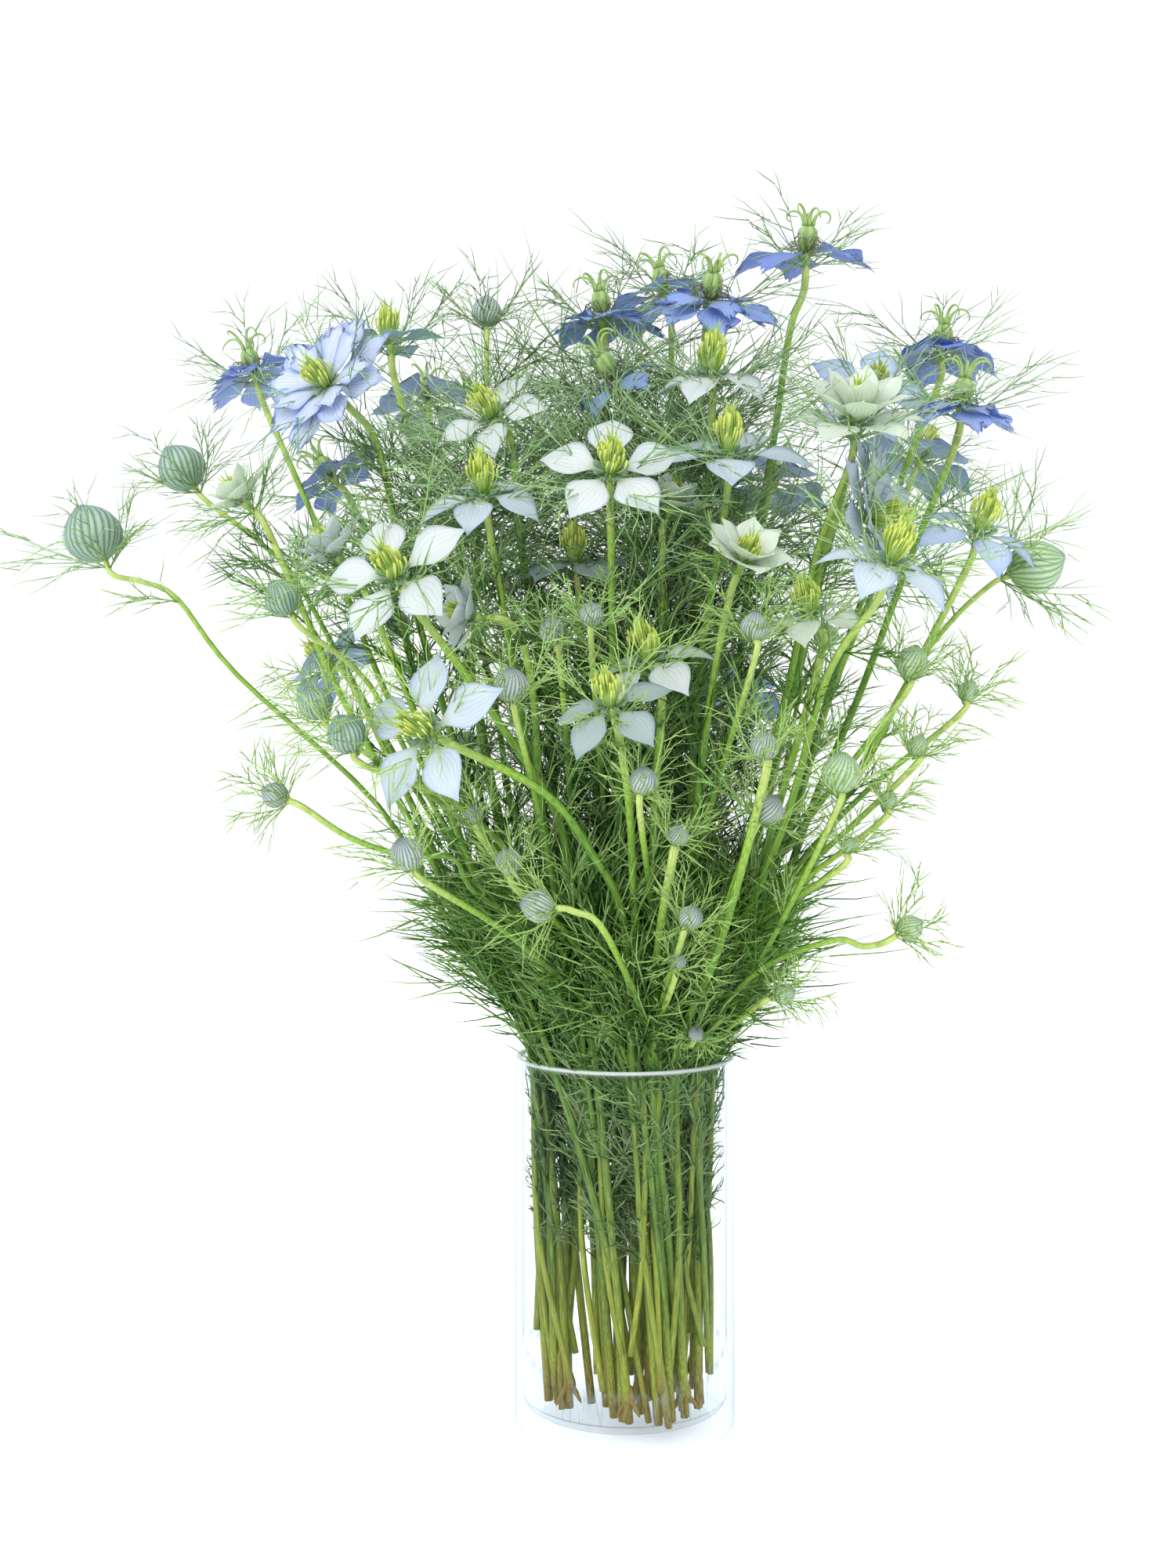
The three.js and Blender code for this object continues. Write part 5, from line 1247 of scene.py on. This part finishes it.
def petal_finish(name, dye):
    """Petal skin: green at the claw, its own colour in the middle, another at the edge and the tip,
    with fine veins that fan out from the claw and meet at the point."""
    body, edge, vein, under = DYES[dye]
    finish, shader, output = new_finish(name)
    tree = finish.node_tree
    u, v, uv = own_map(tree)
    is_under = reckon(tree, "GREATER_THAN", v, 0.5)
    along = reckon(tree, "PINGPONG", reckon(tree, "MULTIPLY", v, 2.12), 1.0)
    aside = reckon(tree, "ABSOLUTE", reckon(tree, "MULTIPLY_ADD", u, 2.0, -1.0))
    fringe = reckon(tree, "MULTIPLY", reckon(tree, "POWER", aside, 3.0), 0.7)
    top = dyed(tree, along, [(0.0, CLAW_GREEN), (0.16, CLAW_GREEN), (0.34, body), (0.8, body),
                             (1.0, edge)])
    top = blended(tree, fringe, top, tint(edge))
    low = dyed(tree, along, [(0.0, CLAW_GREEN), (0.3, under), (0.85, under), (1.0, edge)])
    skin = blended(tree, is_under, top, low)
    wander = reckon(tree, "MULTIPLY_ADD", grain(tree, uv, 3, 9), 0.12, u)
    lines = reckon(tree, "FRACT", reckon(tree, "MULTIPLY", wander, VEINS))
    thin = reckon(tree, "SMOOTH_MIN", reckon(tree, "PINGPONG", lines, 0.5), 0.25, 0.1)
    drawn = reckon(tree, "MAXIMUM", reckon(tree, "MULTIPLY_ADD", thin, -4.6, 1.0), 0.0)
    patches = reckon(tree, "MULTIPLY_ADD", grain(tree, uv, 5, 4), 1.3, -0.15)
    patchy = reckon(tree, "MULTIPLY", drawn, patches)
    stronger = reckon(tree, "MULTIPLY_ADD", is_under, 0.35, 0.5)
    strength = reckon(tree, "MULTIPLY", patchy, stronger, clamp=True)
    colour = blended(tree, strength, skin, tint(vein))
    cloudy = reckon(tree, "MULTIPLY_ADD", grain(tree, uv, 4, 7), 0.7, -0.2, clamp=True)
    colour = blended(tree, reckon(tree, "MULTIPLY", cloudy, 0.5), colour, tint(edge))
    plug(tree, shader, Base_Color=colour, Roughness=0.55, Sheen_Weight=0.1)
    raise_skin(tree, shader, patchy, 0.35, 0.0004)
    leaf_light(tree, shader, output, colour, 0.42, "#ffffff")
    return finish


PETALS = {dye: petal_finish(f"petal_{dye}", dye) for dye in DYES}
for number, head in enumerate(BLOOMS):
    rng = np.random.default_rng(100 + number)
    age = "old" if head["centre"] == "capsule" else "fresh"
    rings = RINGS[head["kind"], age]
    skins = [petal_skin(head, ring, layer, index, rng)
             for layer, ring in enumerate(rings) for index in range(ring[0])]
    make_piece(f"bloom_{number + 1:02d}", joined(skins), PETALS[head["dye"]], f"petals_{number + 1:02d}")

# ---- hearts ----
# What grows inside a bloom. A fresh one has small dark forked nectaries, some forty yellow-green
# club-tipped stamens and five upright styles. An older one has an inflated green capsule with curled
# horns, and withered stamens hanging round it.

# Places of the heart's colours in the UV map.
NECTARY, FILAMENT, ANTHER, STYLE = 0.03, 0.18, 0.32, 0.46
CAPSULE, RIB, TIP, WITHERED = 0.6, 0.72, 0.85, 0.97
HEART_COLOURS = [
    (NECTARY, "#5f9580"), (FILAMENT, "#bfe25a"), (ANTHER, "#eef56e"), (STYLE, "#a6d452"),
    (CAPSULE, "#a3c86c"), (RIB, "#6c9a40"), (TIP, "#8a9a5c"), (WITHERED, "#544a62"),
]
FULL_SIZE = 20.0  # radius of a bloom whose heart has its full size
STAMENS, WHORLS, STYLES, NECTARIES = 40, 4, 5, 8
STAMEN_HEIGHT, LOWER = 18.0, 2.0  # of the inner whorl, and how much lower each next one stands
STAMEN_BOW, BOW_MORE = 0.9, 1.5  # how far they bow out, and how much more each next whorl does
# Places along a stamen, with its radius there: a thread, and the club at its end.
STAMEN = np.array([(0, 0.24), (0.35, 0.22), (0.64, 0.24), (0.72, 0.42), (0.92, 0.48), (1.0, 0.16)])


def on_head(head, angle, radius, height):
    """Points at an angle round a head's axis, a radius out from it and a height along it."""
    centre, up, side, front = head_axes(head)
    angle, radius, height = (each[..., None] for each in np.broadcast_arrays(angle, radius, height))
    return centre + radius * (np.cos(angle) * side + np.sin(angle) * front) + height * up


def stamen_skin(head, rng, tall):
    """Club-tipped stamens in a bundle: each rises from the base, bows out and comes in again, and
    swells to a long club at its end. The outer ones are shorter."""
    each = (STAMENS, 1)
    whorl = (np.arange(STAMENS) % WHORLS)[:, None]
    angle = (GOLDEN * np.arange(STAMENS))[:, None] + rng.uniform(-0.15, 0.15, each)
    t = STAMEN[:, 0]
    bow = tall * (STAMEN_BOW + BOW_MORE * whorl) * rng.uniform(0.75, 1.2, each)
    height = tall * (STAMEN_HEIGHT - LOWER * whorl) * rng.uniform(0.82, 1.06, each)
    radius = 1.0 + bow * np.sin(np.pi * 0.62 * t)
    paths = on_head(head, angle + 0.3 * t ** 2, radius, 0.8 + height * t)
    tone = ramp(t, [(0.55, FILAMENT), (0.75, ANTHER)])
    return rods(paths, tall * STAMEN[:, 1], rng.uniform(0.2, 0.8, each), tone, 4)


def style_skin(head, rng, tall):
    """Five upright styles, which stand out above the stamens and part at their tips."""
    angle = (np.arange(STYLES) * 2 * np.pi / STYLES)[:, None]
    t = np.linspace(0, 1, 7)
    height = tall * (5 + 17.5 * t) * rng.uniform(0.92, 1.05, (STYLES, 1))
    radius = tall * (1.3 - 0.4 * t + 3.4 * t ** 4)
    thick = tall * ramp(t, [(0, 0.6), (0.6, 0.42), (1, 0.15)])
    return rods(on_head(head, angle + 0.9 * t, radius, height), thick, 0.6, STYLE, 4)


def nectary_skin(head, tall):
    """Eight nectaries: each a short dark stalk over a petal's foot, with two lobes that turn up."""
    angle = (np.arange(NECTARIES) * 2 * np.pi / NECTARIES)[:, None] + head["spin"]
    t = np.linspace(0, 1, 6)
    radius = 1.6 + tall * 5.4 * t
    height = 0.9 + tall * (1.6 * t + 1.0 * t ** 3)
    thick = tall * ramp(t, [(0, 0.3), (0.35, 0.4), (0.7, 0.85), (1, 0.4)])
    lobes = [on_head(head, angle + side * 0.15 * t ** 2, radius, height) for side in (-1, 1)]
    return joined([rods(paths, thick, 0.5, NECTARY, 5) for paths in lobes])


def closed_round(head, profile, angle, radius, u, v, end_uv):
    """A closed skin round a head's axis: rings of points at the profile's heights, with an angle and
    a radius each, and a point on the axis at each end."""
    ring = on_head(head, angle, radius, profile[1:-1, :1])
    ends = on_head(head, 0.0, 0.0, profile[[0, -1], 0])
    _, quads, triangles, _ = turned(profile, radius.shape[1])
    uv = np.stack(np.broadcast_arrays(u, v), 2).reshape(-1, 2)
    return np.concatenate([ring.reshape(-1, 3), ends]), quads, triangles, np.concatenate([uv, end_uv])


# Heights and radii of the base that the petals stand on, of a fresh ovary and of an old one.
BASE_PROFILE = [(-5.5, 0), (-5.2, 0.9), (-2.5, 1.2), (-0.8, 1.9), (0.4, 2.1), (1.0, 1.4), (1.2, 0)]
OVARY_PROFILE = [(0.0, 0), (0.3, 1.4), (2, 2.1), (5, 2.3), (7.5, 1.8), (8.6, 0.9), (9, 0)]
CAPSULE_PROFILE = [(1.2, 0), (1.4, 1.2), (2.6, 2.6), (4.6, 3.9), (7.0, 4.4), (9.6, 4.2), (11.4, 3.4),
                   (12.4, 2.0), (12.2, 0)]
LOBES = 5  # of a capsule, and of a bud


def pod_skin(head, profile, depth, tone, seam_tone, columns=30):
    """A closed pod: rings whose radius follows a profile of (height, radius) and swells in lobes by
    the cosine of the angle. Its tone goes from the lobes' backs to the seams between them."""
    profile = np.array(profile, float)
    rows = profile[1:-1]
    angle = np.arange(columns) * 2 * np.pi / columns
    wave = np.cos(LOBES * angle) * 0.5 + 0.5
    radius = rows[:, 1:] * (1 - depth * (1 - np.sqrt(wave)))
    u = 0.1 + 0.8 * np.linspace(0, 1, len(rows))[:, None]
    v = seam_tone + (tone - seam_tone) * wave
    return closed_round(head, profile, angle, radius, u, v, [[0.1, tone], [0.9, tone]])


HORN, HORN_STEPS = 17.0, 12  # its length, and points along it
CROWN = 12.2  # height of the capsule's top


def horn_skin(head, rng):
    """Five horns, the old styles. Each leans from nearly upright over to past straight down along its
    length: its radius and height add up the sine and the cosine of that lean."""
    each = (STYLES, 1)
    angle = (np.arange(STYLES) * 2 * np.pi / STYLES)[:, None] + rng.uniform(-0.25, 0.25, each)
    t = np.linspace(0, 1, HORN_STEPS)
    lean = 0.12 + rng.uniform(3.0, 4.6, each) * t ** 1.9
    step = HORN * rng.uniform(0.85, 1.1, each) / (HORN_STEPS - 1)
    radius = 1.6 + np.cumsum(np.sin(lean), 1) * step
    height = CROWN - 1.2 + np.cumsum(np.cos(lean), 1) * step
    paths = on_head(head, angle + 0.35 * t ** 2, radius, height)
    thick = ramp(t, [(0, 1.0), (0.4, 0.62), (1, 0.22)])
    return rods(paths, thick, 0.7, ramp(t, [(0.7, CAPSULE), (1, RIB)]), 5)


WITHERED_STAMENS = 34


def withered_skin(head, rng):
    """Withered stamens: dark threads that fall out and down from under the capsule, and a few that
    still stand."""
    each = (WITHERED_STAMENS, 1)
    angle = (GOLDEN * np.arange(WITHERED_STAMENS))[:, None]
    t = np.linspace(0, 1, 5)
    radius = 1.5 + rng.uniform(5, 9.5, each) * t
    height = 1.2 + rng.uniform(1.0, 7, each) * np.sin(np.pi * t * 0.85) - 0.6 * t
    paths = on_head(head, angle + rng.uniform(-0.5, 0.5, each) * t, radius, height)
    thick = ramp(t, [(0, 0.24), (0.6, 0.22), (0.85, 0.5), (1, 0.3)])
    return rods(paths, thick, 0.5, ramp(t, [(0, TIP), (0.4, WITHERED)]), 3)


def heart_skin(head, number):
    """Everything that grows inside a bloom, on the small cone that its petals stand on."""
    rng = np.random.default_rng(300 + number)
    tall = min(1.0, head["radius"] / FULL_SIZE)
    skins = [pod_skin(head, BASE_PROFILE, 0.05, STYLE, STYLE, 12)]
    if head["centre"] == "capsule":
        skins.append(pod_skin(head, CAPSULE_PROFILE, 0.3, CAPSULE, RIB))
        return joined([*skins, horn_skin(head, rng), withered_skin(head, rng)])
    ovary = [(height * tall, radius * tall) for height, radius in OVARY_PROFILE]
    skins.append(pod_skin(head, ovary, 0.2, STYLE, RIB, 15))
    return joined([*skins, stamen_skin(head, rng, tall), style_skin(head, rng, tall),
                   nectary_skin(head, tall)])


def heart_finish():
    """The skin of stamens, styles, nectaries and capsules, each in its own colour."""
    finish, shader, output = new_finish("heart")
    tree = finish.node_tree
    u, v, uv = own_map(tree)
    uneven = mottled(tree, u, uv, 18, 30, 0.8)
    colour = two_toned(tree, dyed(tree, v, HEART_COLOURS), uneven, "#c2d2a0", "#eef5bc", 0.3)
    plug(tree, shader, Base_Color=colour, Roughness=0.45)
    leaf_light(tree, shader, output, colour, 0.2, "#f4f7b0")
    return finish


HEART = heart_finish()
for plant, shoots in enumerate(GROWN):
    skins = [heart_skin(shoot["head"], number) for number, shoot in shoots if shoot["head"]["is_bloom"]]
    dress_plant(plant, "hearts", skins, HEART)

# ---- buds ----
# A closed bud is a ball of five overlapping petals, still grey-green and blue with darker stripes
# along them, drawn to a green point at the top.

BUD_PROFILE = [(-1.0, 0), (-0.98, 0.22), (-0.86, 0.52), (-0.62, 0.78), (-0.3, 0.94), (0.02, 0.97),
               (0.34, 0.87), (0.62, 0.68), (0.82, 0.46), (0.94, 0.28), (1.04, 0.14), (1.08, 0)]
BUD_COLUMNS = 40
SWIRL = 0.5  # how far a lobe turns from the bud's middle to each end
SWELLING, LAP = 0.06, 0.05  # how far a lobe swells, and rises from edge to edge, by the radius


def bud_skin(head, number):
    """A bud: a pointed ball in five overlapping lobes. Each lobe rises from one edge to the other and
    drops to the next one, so that it laps over it, and the lobes swirl a little round the bud."""
    profile = np.array(BUD_PROFILE) * head["radius"]
    rows = profile[1:-1]
    angle = np.arange(BUD_COLUMNS) * 2 * np.pi / BUD_COLUMNS
    swirl = SWIRL * np.linspace(-1, 1, len(rows))[:, None]
    lap = LOBES * (angle / (2 * np.pi)) % 1
    radius = rows[:, 1:] * (1 + SWELLING * np.sin(np.pi * lap) + LAP * (lap - 0.5))
    u = np.abs(2 * lap - 1) * 0.96 + 0.02
    v = 0.03 + 0.94 * np.linspace(0, 1, len(rows))[:, None]
    return closed_round(head, profile, angle + swirl + number, radius, u, v, [[0.5, 0.01], [0.5, 0.99]])


BUD_DYES = {  # from the foot to the point, and the stripes
    "teal": ("#8cb070", "#93b090", "#a2beaa", "#84a196", "#64857a", "#3f6042"),
    "grey": ("#94b270", "#a9bb9a", "#bac6bc", "#9ea9ac", "#707a78", "#43554a"),
    "green": ("#98c05c", "#b0cc90", "#c4d8b4", "#abc49c", "#84a866", "#5a8838"),
}
DYE_PLACES = (0.0, 0.22, 0.5, 0.8, 1.0)


def bud_finish(name, dye):
    """Bud skin: green at the foot and the point, paler between, with dark stripes along it."""
    finish, shader, _ = new_finish(name)
    tree = finish.node_tree
    u, v, uv = own_map(tree)
    *grounds, line = BUD_DYES[dye]
    ground = dyed(tree, v, list(zip(DYE_PLACES, grounds)))
    folded = reckon(tree, "PINGPONG", reckon(tree, "MULTIPLY", u, 2.5), 0.5)
    across = reckon(tree, "MULTIPLY", folded, 2.0)
    stripe = reckon(tree, "MULTIPLY", reckon(tree, "POWER", across, 1.7), 0.95)
    patches = reckon(tree, "MULTIPLY", grain(tree, uv, 5, 6), 0.3)
    colour = blended(tree, patches, blended(tree, stripe, ground, tint(line)), tint("#8b93a0"))
    plug(tree, shader, Base_Color=colour, Roughness=0.5, Specular_IOR_Level=0.3)
    raise_skin(tree, shader, stripe, 0.5, 0.0006)
    return finish


BUD_SKINS = {dye: bud_finish(f"bud_{dye}", dye) for dye in BUD_DYES}
TEAL_TO, GREY_TO = -80, 50  # buds are teal at the left, grey in the middle and green at the right
for plant, shoots in enumerate(GROWN):
    buds = [(number, shoot["head"]) for number, shoot in shoots if not shoot["head"]["is_bloom"]]
    if buds:
        across = np.mean([head["place"][0] for _, head in buds])
        dye = "teal" if across < TEAL_TO else "grey" if across < GREY_TO else "green"
        dress_plant(plant, "buds", [bud_skin(head, number) for number, head in buds], BUD_SKINS[dye])

# ---- floor and light ----
# A white tabletop that glows a little, under a bright white sky, with one broad lamp high in front
# and a little to the left.

FLOOR_HALF = 6.0  # metres
corners = [(-FLOOR_HALF, -FLOOR_HALF, 0), (FLOOR_HALF, -FLOOR_HALF, 0),
           (FLOOR_HALF, FLOOR_HALF, 0), (-FLOOR_HALF, FLOOR_HALF, 0)]
floor_mesh = bpy.data.meshes.new("tabletop")
floor_mesh.from_pydata(corners, [], [(0, 1, 2, 3)])
tabletop = bpy.data.objects.new("tabletop", floor_mesh)
bpy.context.collection.objects.link(tabletop)
white_paint, white_shader, _ = new_finish("white_paint")
plug(white_paint.node_tree, white_shader, Base_Color=(0.93, 0.95, 0.98, 1), Roughness=0.9,
     Emission_Color=(0.97, 0.985, 1.0, 1), Emission_Strength=0.3)
floor_mesh.materials.append(white_paint)

world = bpy.data.worlds.new("white_sky")
world.use_nodes = True
plug(world.node_tree, world.node_tree.nodes["Background"], Color=(0.96, 0.98, 1.0, 1), Strength=1.12)
bpy.context.scene.world = world

LAMP_SIZE, LAMP_WATTS = 2.4, 32.0
LAMP_AT, LAMP_TURN = (-0.6, -1.6, 1.5), (55, 0, -20.6)  # metres and degrees
lamp = bpy.data.objects.new("broad_lamp", bpy.data.lights.new("broad_lamp", "AREA"))
lamp.data.size = LAMP_SIZE
lamp.data.energy = LAMP_WATTS
lamp.location = LAMP_AT
lamp.rotation_euler = np.radians(LAMP_TURN)
bpy.context.collection.objects.link(lamp)

bpy.context.scene.view_settings.view_transform = "Standard"
